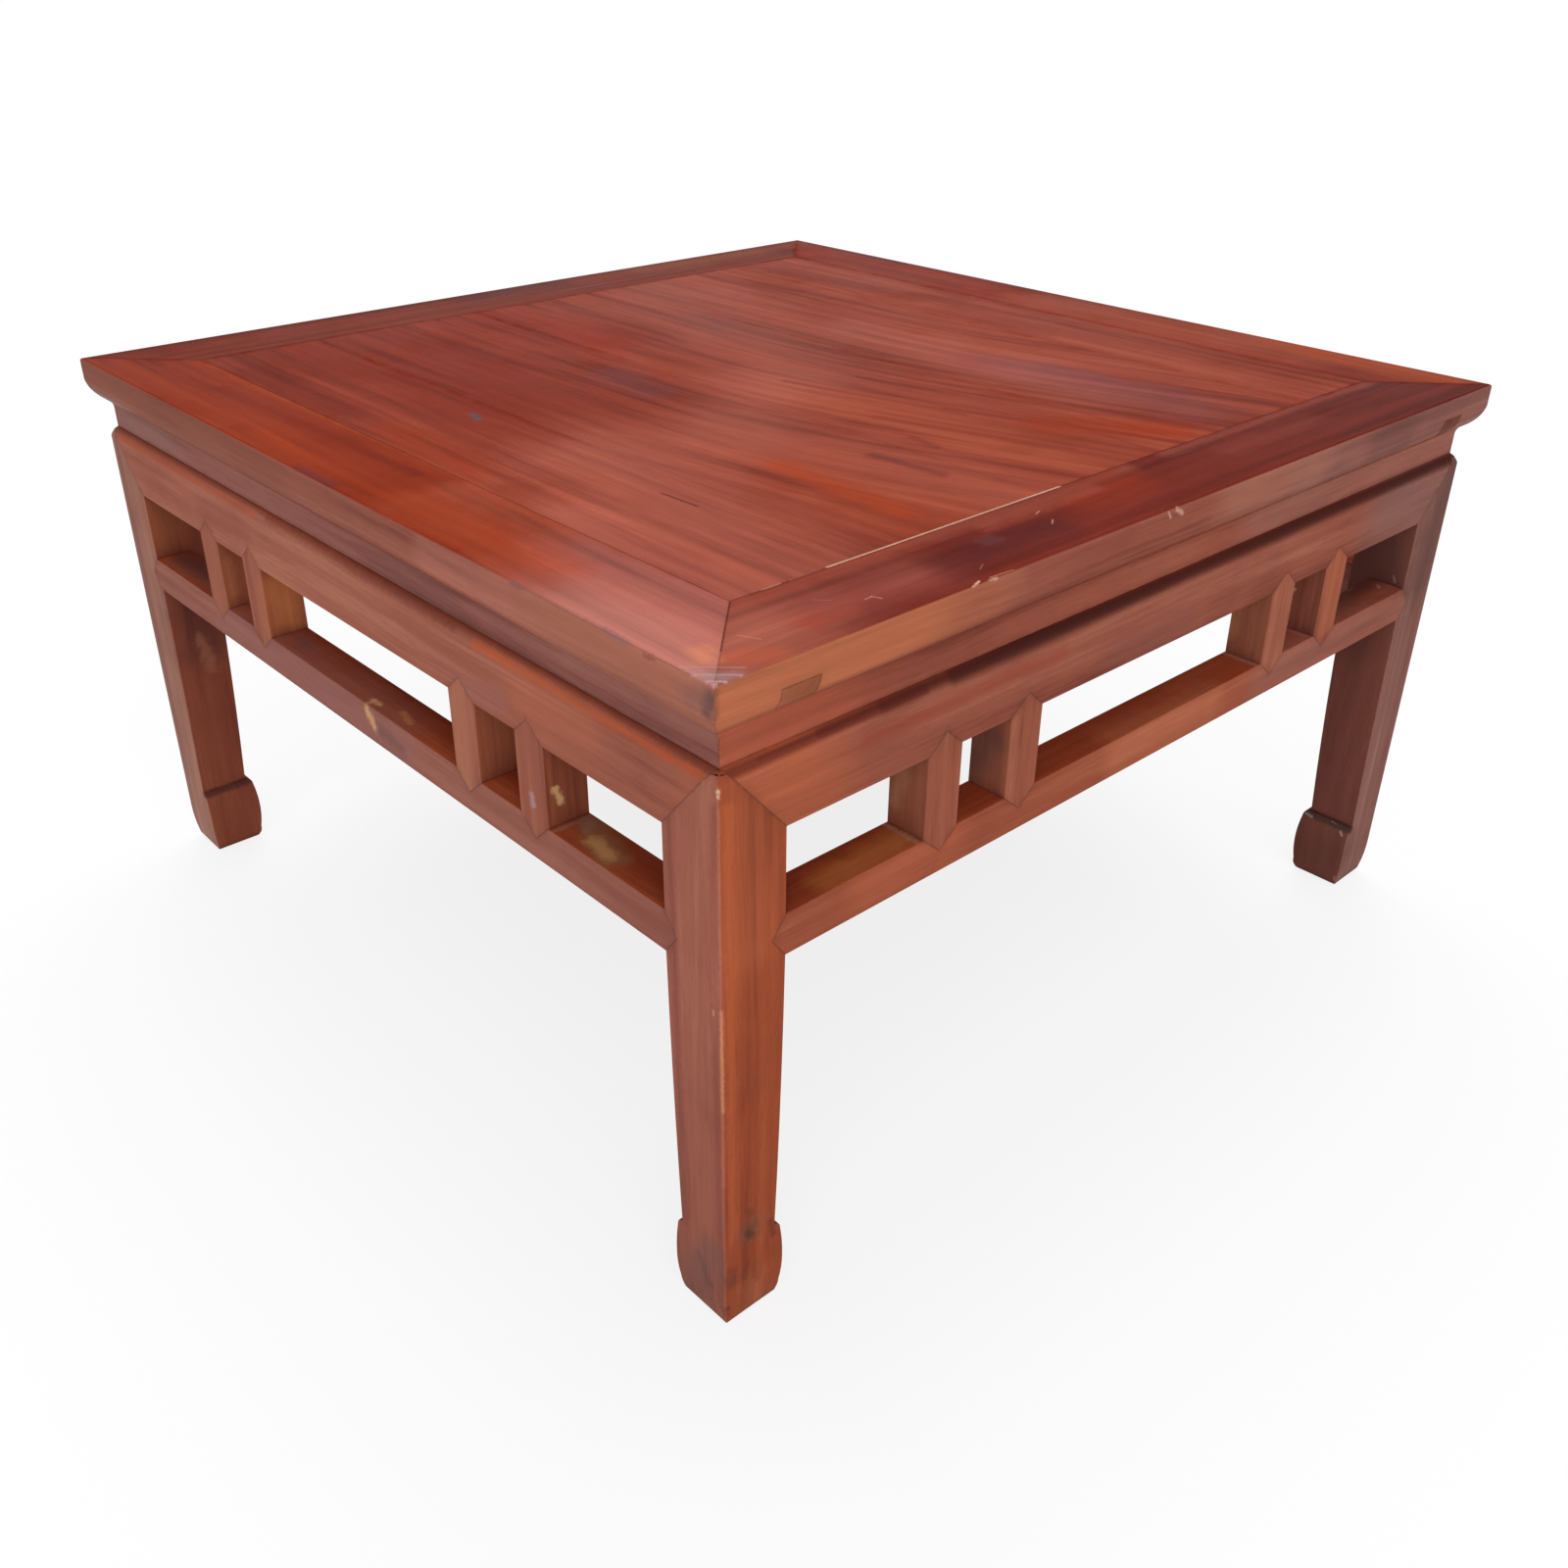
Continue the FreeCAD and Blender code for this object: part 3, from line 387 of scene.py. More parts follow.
mark("short_rail_front", (
    ((-419, -420, 477), (-419, -420, 462), 3.5, (124, 66, 52), 0.5, How(0.0, 0.5)),
    ((-371.5, -381.5, TOP), (-365.5, -393.5, TOP), 0.8, (190, 122, 102), 0.6, LINE),
    ((-309, -374, TOP), (-302, -381, TOP), 0.7, (172, 106, 92), 0.45, LINE),
    ((-287, -392.9, TOP), (-281, -392.2, TOP), 0.8, (200, 136, 118), 0.6, How(0.1, 1.3)),
    ((-281, -392.2, TOP), (-279, -398, TOP), 1.1, (200, 136, 118), 0.6, How(0.1, 1.3)),
    ((-205, -406, TOP), (-198, -402, TOP), 0.6, (156, 116, 112), 0.5, LINE),
    ((-113, -386, TOP), (-107, -381.5, TOP), 0.8, (198, 134, 112), 0.7, LINE),
    ((-107, -368, TOP), (-101, -366, TOP), 0.8, (198, 134, 112), 0.7, LINE),
    ((-227, -420, 479.5), (-219, -417.5, TOP), 1.3, (222, 172, 152), 0.8, CHIP),
    ((-212, -420, TOP), (-206, -420, 479), 1.8, (206, 160, 140), 0.85, CHIP),
    ((-210, -418, TOP), (-190, -419, TOP), 0.7, (190, 120, 100), 0.7, LINE),
    ((-27, -420, 478), (-20, -420, 474), 2.6, (200, 152, 134), 0.8, CHIP),
    ((-36, -420, 478), (-33, -420, 474), 1.6, (196, 146, 132), 0.75, CHIP),
    ((40, -420, TOP), (140, -420, TOP), 0.9, (178, 112, 88), 0.6, LINE),
))

# joints of the frame: mitres, and the seams by the panel
mark(ANY, (
    ((-391, -391, TOP), (-345, -345, TOP), 0.8, (92, 40, 30), 0.75, LINE),
    ((-404, -404, TOP), (-391, -391, TOP), 0.6, (140, 74, 58), 0.3, LINE),
    ((420, -420, TOP), (345, -345, TOP), 0.8, (66, 24, 16), 0.7, LINE),
    ((420, 420, TOP), (345, 345, TOP), 0.8, (64, 24, 18), 0.55, LINE),
    ((-420, 420, TOP), (-345, 345, TOP), 0.8, (74, 24, 14), 0.5, LINE),
    ((-330, -346.4, TOP), (-60, -346.4, TOP), 1.2, (96, 40, 32), 0.5, LINE),
    ((-321, -344.7, TOP), (-307, -344.7, TOP), 0.9, (206, 150, 124), 0.6, LINE),
    ((-300, -344.7, TOP), (-275, -344.7, TOP), 0.7, (184, 118, 96), 0.45, LINE),
    ((-270, -344.7, TOP), (-53, -344.7, TOP), 1.15, (222, 174, 148), 0.95, How(0.45, 0.4, dull=0.2)),
    ((-53, -344.7, TOP), (345, -344.7, TOP), 0.8, (82, 28, 18), 0.5, LINE),
    ((-344.7, -335, TOP), (-344.7, -305, TOP), 0.7, (100, 42, 32), 0.5, LINE),
    ((-344.7, -300, TOP), (-344.7, 345, TOP), 0.7, (120, 50, 32), 0.22, LINE),
    ((344.7, -345, TOP), (344.7, 345, TOP), 1.0, (158, 80, 56), 0.35, LINE),
    ((-345, 344.7, TOP), (345, 344.7, TOP), 1.0, (82, 30, 18), 0.45, LINE),
))

# waist and aprons
mark("apron_left", (
    # painted light and shade on the left bevel: a lit orange band along its lower half, a painted shadow line
    # above it under the waist, darker in the middle
    ((-409, -425, 414.8), (-409, -175, 414.8), 5.0, (184, 80, 36), 0.85, How(0.1, 0.6)),
    ((-403, -430, 420.5), (-403, 420, 420.5), 3.5, (84, 28, 14), 0.8, How(0.2, 0.3)),
    ((-409, 130, 414.8), (-409, 390, 414.8), 5.0, (170, 74, 38), 0.7, How(0.1, 0.6)),
    ((-407, -150, 417), (-407, 110, 417), 6, (116, 46, 28), 0.65, How(0.1, 0.5)),
    ((-SIDE, -420, 392), (-SIDE, -390, 392), 30, (174, 92, 62), 0.6, SOFT),
    ((-SIDE, -290, 396), (-SIDE, -230, 396), 34, (172, 94, 66), 0.6, SOFT),
    ((-SIDE, 160, 396), (-SIDE, 220, 396), 40, (134, 68, 54), 0.6, SOFT),
    ((-SIDE, -200, 385), (-SIDE, -150, 378), 16, (150, 92, 88), 0.5, SOFT),
))
mark("apron_front", (
    ((-420, -SIDE, 392), (-360, -SIDE, 392), 80, (178, 92, 58), 0.7, SOFT),
    # painted reflection: greyer towards the far right end
    ((310, -SIDE, 396), (420, -SIDE, 396), 80, (130, 92, 84), 0.75, SOFT),
    ((-60, -SIDE, 385), (20, -SIDE, 380), 30, (128, 72, 64), 0.5, SOFT),
    ((-300, -SIDE, 402), (-120, -SIDE, 402), 9, (150, 64, 44), 0.5, SOFT),
    # painted shadow along the front bevel under the waist, growing darker towards the right
    ((-430, -407.6, 417.2), (-250, -407.6, 417.2), 5.0, (106, 40, 24), 0.85, How(0.3, 0.0)),
    ((-380, -407.0, 418.4), (430, -407.0, 418.4), 2.4, (88, 30, 17), 0.7, How(0.0, 0.0)),
    ((-335, -407.2, 418.0), (430, -407.2, 418.0), 4.4, (80, 25, 13), 0.7, How(0.0, 0.0)),
    ((-285, -407.4, 417.6), (430, -407.4, 417.6), 6.4, (72, 20, 10), 0.75, How(0.0, 0.0)),
    ((-225, -407.6, 417.2), (430, -407.6, 417.2), 8.0, (64, 17, 8), 0.85, How(0.1, 0.0)),
))
mark("waist_front", (
    ((-420, -WAIST, 434), (-330, -WAIST, 434), 70, (176, 88, 62), 0.7, SOFT),
    # painted reflection: greyer towards the far right end
    ((110, -WAIST, 434), (440, -WAIST, 434), 50, (158, 102, 89), 0.65, SOFT),
))
mark("waist_left", (
    # painted reflection: greyer towards the back end
    ((-WAIST, 300, 434), (-WAIST, 440, 434), 60, (134, 96, 88), 0.6, SOFT),
    ((-WAIST, -130, 434), (-WAIST, -60, 434), 45, (130, 76, 70), 0.5, SOFT),
))

# legs: knots by the front foot, stripes beside the corner, chips, and a painted highlight with painted shade
# at the front corner
mark("leg_front_left", (
    # painted highlight and shade by the rounded front corner: an orange stripe on the front face, a darker
    # red strip on the left face
    ((-404, -SIDE, 400), (-403, -SIDE, 80), 6.5, (190, 94, 50), 0.5, How(0.0, 0.4, "y")),
    ((-SIDE, -406.5, 400), (-SIDE, -405.5, 20), 6, (132, 60, 50), 0.5, How(0.0, 0.5, "x")),
    ((-391, -SIDE, 395), (-390, -SIDE, 120), 3.0, (130, 54, 30), 0.4, How(0.0, 0.9, "y")),
    ((-366, -SIDE, 395), (-367, -SIDE, 100), 4.5, (136, 58, 34), 0.35, How(0.0, 0.9, "y")),
    ((-386, -SIDE, 420), (-386, -SIDE, 300), 34, (172, 88, 54), 0.6, How(0.0, 0.4, "y")),
    ((-386, -SIDE, 26), (-384, -SIDE, 10), 22, (172, 100, 68), 0.55, How(0.0, 0.6, "y")),
    ((-SIDE, -368, 380), (-SIDE, -372, 70), 6, (136, 70, 58), 0.6, How(0.0, 0.6, "x")),
    ((-391, -SIDE, 79), (-389, -SIDE, 77), 17, (132, 78, 56), 0.6, How(0.0, 0.9, "y")),
    ((-393, -SIDE, 48), (-396, -SIDE, 38), 7, (116, 58, 42), 0.5, How(0.0, 1.0, "y")),
    ((-391, -SIDE, 78), (-388, -SIDE, 74), 12, (112, 60, 42), 0.55, How(0.2, 0.6, "y")),
    ((-391, -SIDE, 77), (-389, -SIDE, 74), 9, (158, 94, 66), 0.5, How(0.1, 0.5, "y")),
    ((-391, -SIDE, 77), (-389, -SIDE, 73), 6.5, (90, 46, 32), 0.85, How(0.1, 0.6, "y")),
    ((-372, -SIDE, 74), (-369, -SIDE, 60), 5, (96, 48, 34), 0.6, How(0.0, 0.6, "y")),
    ((-407, -SIDE, 52), (-405, -SIDE, 40), 8, (112, 56, 40), 0.7, How(0.0, 1.0)),
    ((-391, -SIDE, 96), (-388, -SIDE, 92), 5, (120, 58, 36), 0.6, How(0.0, 1.0, "y")),
    ((-386, -SIDE, 44), (-384, -SIDE, 30), 6, (134, 66, 40), 0.6, How(0.0, 1.0, "y")),
    ((-SIDE, -385, 50), (-SIDE, -395, 32), 6, (92, 60, 54), 0.65, How(0.0, 1.0, "x")),
    ((-SIDE, -400, 60), (-SIDE, -380, 20), 26, (124, 82, 74), 0.6, How(0.0, 0.8, "x")),
    ((-409, -409, 20), (-406, -406, 8), 4, (80, 36, 30), 0.7, How(0.0, 0.9)),
    ((-410.5, -410.5, 412), (-SIDE, -SIDE, 408), 2.0, (222, 176, 150), 0.8, CHIP),
    # painted highlight down the front corner
    ((-410, -410, 400), (-410, -410, 300), 1.3, (190, 118, 84), 0.45, How(0.0, 1.0)),
    ((-SIDE, -404, 263), (-SIDE, -404, 260), 1.5, (206, 146, 118), 0.7, CHIP),
    # painted highlight down the front corner, broken by the chip above
    ((-410.3, -410.3, 266), (-410.3, -410.3, 190), 1.9, (208, 134, 96), 0.7, How(0.0, 0.9)),
    ((-410, -410, 190), (-410, -410, 130), 1.4, (190, 112, 80), 0.5, How(0.0, 0.9)),
))
mark("leg_front_right", (
    ((SIDE, -SIDE, 430), (385, -SIDE, 310), 44, (96, 62, 56), 0.8, SOFT),
    # painted shade: the inner face darker under the apron
    ((INNER, -380, 380), (INNER, -380, 260), 44, (84, 36, 24), 0.7, SOFT),
    ((INNER, -406, 40), (INNER, -370, 20), 34, (78, 36, 28), 0.5, SOFT),
    # painted shade: a dark line on the foot's ledge
    ((365.5, -SIDE, 65), (365.5, -INNER, 65), 6, (48, 26, 22), 0.88, How(0.35, 0.4)),
    ((363, -366, 64), (363, -372, 63), 2.4, (150, 138, 138), 0.55, CHIP),
    ((365, -392, 66), (365, -398, 65), 1.4, (140, 120, 116), 0.5, CHIP),
    ((362, -403, 61), (362, -405, 58), 2.0, (188, 158, 148), 0.65, CHIP),
    ((INNER, -400, 320), (INNER, -402, 315), 1.7, (190, 160, 146), 0.65, CHIP),
    # painted shade: darker in the corner by the stretcher
    ((INNER, -396, 345), (INNER, -400, RUNG), 12, (74, 34, 26), 0.6, SOFT),
    ((362, -407, 12), (362, -408, 6), 1.5, (180, 142, 130), 0.6, CHIP),
))
mark("leg_back_left", (
    # painted shade: a dark line on the foot's ledge
    ((-SIDE, 365.5, 65), (-INNER, 365.5, 65), 5.5, (62, 30, 24), 0.8, How(0.3, 0.4)),
    ((-385, INNER, 270), (-385, INNER, 225), 44, (86, 40, 34), 0.75, SOFT),
    ((-395, INNER, 355), (-395, INNER, 335), 30, (152, 84, 50), 0.65, SOFT),
    ((-365, INNER, 134), (-364, INNER, 120), 3.2, (214, 160, 110), 0.8, CHIP),
    ((-386, INNER, 225), (-380, INNER, 195), 10, (146, 90, 66), 0.6, CHIP),
    ((-395, INNER, 240), (-392, INNER, 226), 3, (96, 44, 34), 0.7, CHIP),
    ((-SIDE, SIDE, 400), (-SIDE, 400, 60), 14, (150, 104, 92), 0.5, How(0.0, 0.5, "x")),
))
mark("stretcher_front", (
    ((352, -392, RUNG), (347, -396, RUNG), 2.2, (196, 166, 152), 0.75, CHIP),
    ((330, -380, RUNG), (320, -382, RUNG), 1.6, (172, 140, 130), 0.7, CHIP),
))
mark("strut_front_4", (
    ((214, -388, 345), (214, -384, 340), 1.6, (202, 164, 124), 0.8, CHIP),
))

# stretchers and struts: glue, chips, a lilac spot
mark("stretcher_left", (
    ((-386, -258, RUNG), (-400, -296, RUNG), 17, (146, 98, 66), 0.85, How(0.15, 0.5, dull=0.2)),
    # glue, with a painted highlight in its pale middle
    ((-397, -274, RUNG), (-401, -294, RUNG), 9, (192, 142, 92), 0.8, How(0.1, 0.7, dull=0.2)),
    ((-386, -254, RUNG), (-394, -262, RUNG), 7, (150, 108, 92), 0.65, How(0.0, 0.7, dull=0.2)),
    ((-380, -249, 311), (-408, -249, 311), 3.5, (146, 104, 90), 0.7, How(0.0, 0.7)),
    ((-SIDE, -60, 297), (-SIDE, 220, 297), 46, (136, 86, 80), 0.65, SOFT),
    ((-392, 345, RUNG), (-392, 262, RUNG), 24, (92, 60, 58), 0.75, UP),
    ((-390, 206, RUNG), (-390, 176, RUNG), 12, (106, 66, 62), 0.55, UP),
    ((-392, 120, RUNG), (-398, 100, RUNG), 12, (110, 78, 74), 0.5, UP),
    ((-SIDE, -15, 306), (-SIDE, -23, 297), 7.5, (214, 158, 110), 0.85, CHIP),
    ((-404, -12, RUNG), (-404, -22, RUNG), 4, (214, 168, 120), 0.7, CHIP),
    ((-398, -44, RUNG), (-402, -62, RUNG), 4.5, (186, 118, 76), 0.7, CHIP),
    ((-SIDE, -32, 296), (-SIDE, -60, 292), 11, (98, 66, 60), 0.6, SOFT),
))
mark("stretcher_front", (
    ((-40, -SIDE, 300), (70, -SIDE, 300), 30, (172, 98, 68), 0.7, SOFT),
    # painted reflection: greyer towards the far right end
    ((150, -SIDE, 297), (400, -SIDE, 297), 42, (142, 92, 82), 0.6, SOFT),
    ((-290, -SIDE, 299), (-220, -SIDE, 299), 30, (178, 92, 62), 0.6, SOFT),
    ((345, -385, RUNG), (262, -388, RUNG), 24, (82, 50, 44), 0.75, UP),
    ((206, -385, RUNG), (180, -388, RUNG), 12, (96, 64, 60), 0.6, UP),
    ((-255, -398, RUNG), (-320, -402, RUNG), 20, (184, 108, 58), 0.65, UP),
    ((-249, -376, RUNG), (-249, -408, RUNG), 3.5, (160, 122, 106), 0.65, How(0.0, 0.7)),
    ((132, -376, RUNG), (132, -408, RUNG), 3.5, (150, 118, 104), 0.6, How(0.0, 0.7)),
    ((209, -376, RUNG), (209, -408, RUNG), 2.5, (140, 118, 110), 0.6, How(0.0, 0.7)),
))
mark("strut_left_4", (
    ((-SIDE, -229, 329), (-SIDE, -230, 323), 4.5, (176, 142, 156), 0.65, CHIP),
    ((-404, -245, 338), (-400, -245, 328), 4, (220, 176, 124), 0.75, CHIP),
))
mark("strut_left_1", (
    ((-404, 214, 350), (-404, 214, 325), 8, (160, 96, 62), 0.5, SOFT),
))
mark("strut_left_2", (
    ((-396, 137, 350), (-396, 137, 325), 24, (184, 108, 62), 0.75, SOFT),
))
mark("strut_front_1", (
    ((-245, -390, 350), (-245, -384, 330), 11, (166, 112, 74), 0.6, SOFT),
))
mark("strut_front_2", (
    ((-168, -395, 350), (-168, -385, 330), 22, (88, 48, 42), 0.75, SOFT),
))
mark("strut_front_3", (
    ((137, -380, 355), (137, -378, 330), 14, (170, 112, 68), 0.6, SOFT),
))
mark("strut_front_4", (
    ((229, -SIDE, 365), (229, -SIDE, 315), 26, (178, 98, 66), 0.6, How(0.0, 0.35, "y")),
))


# ------------------------------------ one material for each piece
FINE_LINE = 3  # mm: a mark no wider hides the grain, a wider one lets it show
SEED_STEP = (1.37, 0.0731, 0.0417)  # metres in the wood from one seed to the next
FACING = (0.4, 0.85)  # share of a normal along an axis: a face begins to count, and counts in full
BLOTCH, DOWN_SHADE, END_GRAIN = srgb(70, 24, 16), srgb(124, 78, 54), srgb(96, 50, 34)
# painted sheen: the pale haze laid over the upright faces
SHEEN_HAZE, SHEEN_X, SHEEN_Y = srgb(196, 182, 178), 0.055, 0.028  # and its share on faces across x and y
# dirt and painted shade: a dark band along each joint that darkens the creases
DIRT_AND_SHADE, DIRT_AND_SHADE_WIDTH = srgb(62, 28, 18), 0.007  # metres to each side of a joint
SEAM, SEAM_CORE, SEAM_WIDTH = srgb(48, 20, 13), 0.00025, 0.0009
RELIEF = 0.00012  # metres that the bump map rises


def add_marks(g, place, wood, faces, marks, colour, rough):
    """The colour and roughness with all marks laid over them."""
    before = wood.outputs["Tone"]
    for a, b, width, tint, strength, how in marks:
        stroke = g.put("ShaderNodeGroup", {
            "Before": before, "A": [c * MM for c in a], "B": [c * MM for c in b], "Width": width * MM,
            "Core": how.core, "Ragged": how.ragged, "Place": place}, node_tree=STROKE)
        before = stroke.outputs[0]
        mask = g.math("MULTIPLY", before, strength)
        if how.face:
            mask = g.math("MULTIPLY", mask, faces[how.face])
        paint = srgb(*tint)
        if how.dull:
            rough = g.math("MULTIPLY_ADD", mask, how.dull, rough)
        elif width > FINE_LINE:
            darker, lighter = (srgb(*(c * k for c in tint)) for k in (0.86, 1.14))
            paint = g.mix(wood.outputs["Tone"], darker, lighter)
        colour = g.mix(mask, colour, paint)
    return colour, rough


def add_joints(g, place, joints, strength, colour, rough, height):
    """The colour, roughness and height with a dark seam, and a band of dirt and painted shade, along each
    joint.
    """
    far = 1.0
    for a, b in joints:
        run = b - a
        step = g.put("ShaderNodeGroup", {"A": a, "Run": run, "Inverse": 1 / run.length_squared,
                                         "Place": place, "Far": far}, node_tree=NEAR_LINE)
        far = step.outputs[0]
    broken = g.noise(g.scaled(place, 260.0), 2.0, 0.6)
    cloud = g.noise(g.scaled(place, 55.0), 2.0, 0.6)
    # dirt and painted shade: a dark cloudy band beside each joint
    dirt_and_shade = g.math("MULTIPLY", g.ramp(far, 0.0, DIRT_AND_SHADE_WIDTH, 1.0, 0.0), g.ramp(cloud, 0.35, 0.7, 0.05, 0.42))
    colour = g.mix(g.math("MULTIPLY", dirt_and_shade, strength * 1.3), colour, DIRT_AND_SHADE)
    near = g.ramp(far, SEAM_CORE, SEAM_WIDTH, 1.0, 0.0)
    line = g.math("MULTIPLY", near, g.ramp(broken, 0.25, 0.6, 0.45, 1.0))
    colour = g.mix(g.math("MULTIPLY", line, strength * 1.2), colour, SEAM)
    rough = g.math("MULTIPLY_ADD", dirt_and_shade, 0.5, rough)
    return colour, rough, g.math("MULTIPLY_ADD", line, -2.5, height)


def make_material(name, axis, seed, tones, joints, marks, bend=None, pith=(0, 0, -0.2), ring_width=0.006,
                  rings=0.4, broad=1.0, streaks=1.2, roughness=0.32, joint_strength=0.3):
    """tones: the names of the shades of faces that look up or down, along x and along y; they differ by
    painted sheen and painted shade.
    """
    material = bpy.data.materials.new(name)
    material.use_nodes = True
    tree = material.node_tree
    tree.nodes.clear()
    g = Graph(tree)
    place = g.put("ShaderNodeTexCoord").outputs["Object"]
    parts = g.split(place)
    along, across, deep = (parts[i] for i in AXES[axis])
    if bend:
        # from one side of the piece to the other, the grain turns away more and more behind a place
        amount, start = bend
        share = g.ramp(across, -0.30, 0.02, 0.0, amount)
        reach = g.math("SMOOTH_MIN", g.math("SUBTRACT", along, start), 0.0, 0.22)
        across = g.math("MULTIPLY_ADD", reach, share, across)
    # each piece comes from a place of its own in the wood
    shift = [seed * step for step in SEED_STEP]
    grain = g.vector("ADD", g.join(along, across, deep), shift)
    drift, pith_v, pith_w = pith
    pith = (drift, pith_v + shift[1], pith_w + shift[2] + drift * shift[0])
    normal = g.put("ShaderNodeNewGeometry").outputs["Normal"]
    nx, ny, nz = g.split(g.vector("ABSOLUTE", normal))
    up = g.split(normal)[2]
    faces = {"z": g.ramp(nz, *FACING), "x": g.ramp(nx, *FACING), "y": g.ramp(ny, *FACING)}
    faces["side"] = g.math("SUBTRACT", 1.0, faces["z"])

    wood = g.put("ShaderNodeGroup", node_tree=WOOD)
    for key, value in (("Pith", pith), ("Ring width", ring_width), ("Rings", rings), ("Broad", broad),
                       ("Streaks", streaks)):
        wood.inputs[key].default_value = value
    # the up, x and y tones differ by painted sheen and painted shade
    for key, upward, by_x, by_y in zip(("Dark", "Middle", "Light"), *(TONES[t] for t in tones)):
        if upward == by_x == by_y:
            wood.inputs[key].default_value = upward
        else:
            tree.links.new(g.mix(faces["z"], g.mix(faces["x"], by_y, by_x), upward), wood.inputs[key])
    tree.links.new(grain, wood.inputs["Grain"])
    colour = wood.outputs["Color"]

    blotch = g.noise(g.vector("MULTIPLY", g.vector("ADD", place, (seed, 0, 0)), (9, 9, 9)), 3.0, 0.6)
    colour = g.mix(g.ramp(blotch, 0.5, 0.75, 0.0, 0.20), colour, BLOTCH)
    # painted shade: faces that look down turn darker and greyer
    colour = g.mix(g.ramp(up, -0.5, -0.95, 0.0, 0.45), colour, DOWN_SHADE)
    # end grain is darker and duller
    end = g.ramp({"x": nx, "y": ny, "z": nz}[axis], 0.8, 0.95)
    colour = g.mix(g.math("MULTIPLY", end, 0.62), colour, END_GRAIN)
    rough = g.math("MULTIPLY_ADD", g.math("SUBTRACT", blotch, 0.5), 0.35, roughness)
    rough = g.math("MULTIPLY_ADD", end, 0.14, rough)
    rough = g.math("MULTIPLY_ADD", wood.outputs["Pores"], 0.10, rough)
    colour, rough = add_marks(g, place, wood, faces, marks, colour, rough)

    # the plane has left long shallow waves
    plane = g.noise(g.vector("MULTIPLY", g.join(along, across, deep), (5, 40, 40)), 2.0, 0.5)
    height = g.math("MULTIPLY_ADD", plane, 2.0, wood.outputs["Height"])
    if joints:
        colour, rough, height = add_joints(g, place, joints, joint_strength, colour, rough, height)
    # painted sheen: a pale haze over the upright faces, stronger on those that look along x
    sheen = g.math("MULTIPLY_ADD", faces["x"], SHEEN_X, g.math("MULTIPLY", faces["y"], SHEEN_Y))
    colour = g.mix(sheen, colour, SHEEN_HAZE)
    bump = g.put("ShaderNodeBump", {"Strength": 0.5, "Distance": RELIEF, "Height": height})
    shader = g.put("ShaderNodeBsdfPrincipled", {
        "Base Color": colour, "Roughness": g.math("MINIMUM", rough, 0.9), "Normal": bump.outputs[0],
        "IOR": 1.45, "Specular IOR Level": 0.004})
    g.put("ShaderNodeOutputMaterial", {0: shader.outputs[0]})
    return material


def marks_on(node):
    """The marks of this piece, or the unnamed ones that reach its box."""
    low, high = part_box(node)
    found = []
    for pieces, a, b, width, *rest in MARKS:
        near = all(min(a[i], b[i]) - width < high[i] / MM and max(a[i], b[i]) + width > low[i] / MM
                   for i in range(3))
        if near and node.startswith(pieces):
            found.append((a, b, width, *rest))
    return found


def dress(node, axis, seed, *tones, **options):
    """One tone for all faces, or three: those that look up or down, along x and along y."""
    tones = tones if len(tones) == 3 else tones * 3
    material = make_material("wood_" + node, axis, seed, tones, JOINTS[node], marks_on(node), **options)
    NODES[node].material_slots[0].material = material


# ------------------------------------ rounded arrises
ROUND = 0.003        # metres, at weight 1
CORNER_WEIGHT = 0.6  # the outer corner of a leg
SOLE_WEIGHT = 1.3    # the edge that it stands on
RIM_WEIGHT = 0.7     # round the table's top
ARRIS_WEIGHT = 0.33  # every other arris that shows
FLAT_ANGLE = 0.002   # radians: faces that turn less become one, and the strips of the curves stay
ARRIS_ANGLE = 0.42   # radians: an edge that turns more is an arris
SHARP_ANGLE = 0.5    # radians: an edge that turns more and isn't rounded shades hard
REACH = 4e-4         # metres within which a neighbour touches
STEP_IN = 6e-4       # metres from the edge, on each face beside it, where that is tested
ON_LINE = 2e-5       # metres within which an edge lies on an arris
SHORTEST = 2e-3      # metres: a shorter joint line isn't drawn
SAME_LINE = 5e-4     # metres: joint lines as close as this are one
CORNER_FROM = 0.408  # the legs' outer corners lie beyond this in x and in y
RIM_FROM = 0.419     # the rim of the top lies beyond this in x or in y
RIM_HEIGHT = 0.4799  # and above this


def welded(node):
    mesh = bmesh.new()
    mesh.from_mesh(NODES[node].data)
    bmesh.ops.remove_doubles(mesh, verts=mesh.verts, dist=1e-6)
    mesh.normal_update()
    return mesh


def distance(point, start, end):
    """From the point to the line between start and end."""
    away, run = point - start, end - start
    return (away - run * max(0, min(1, away.dot(run) / run.length_squared))).length


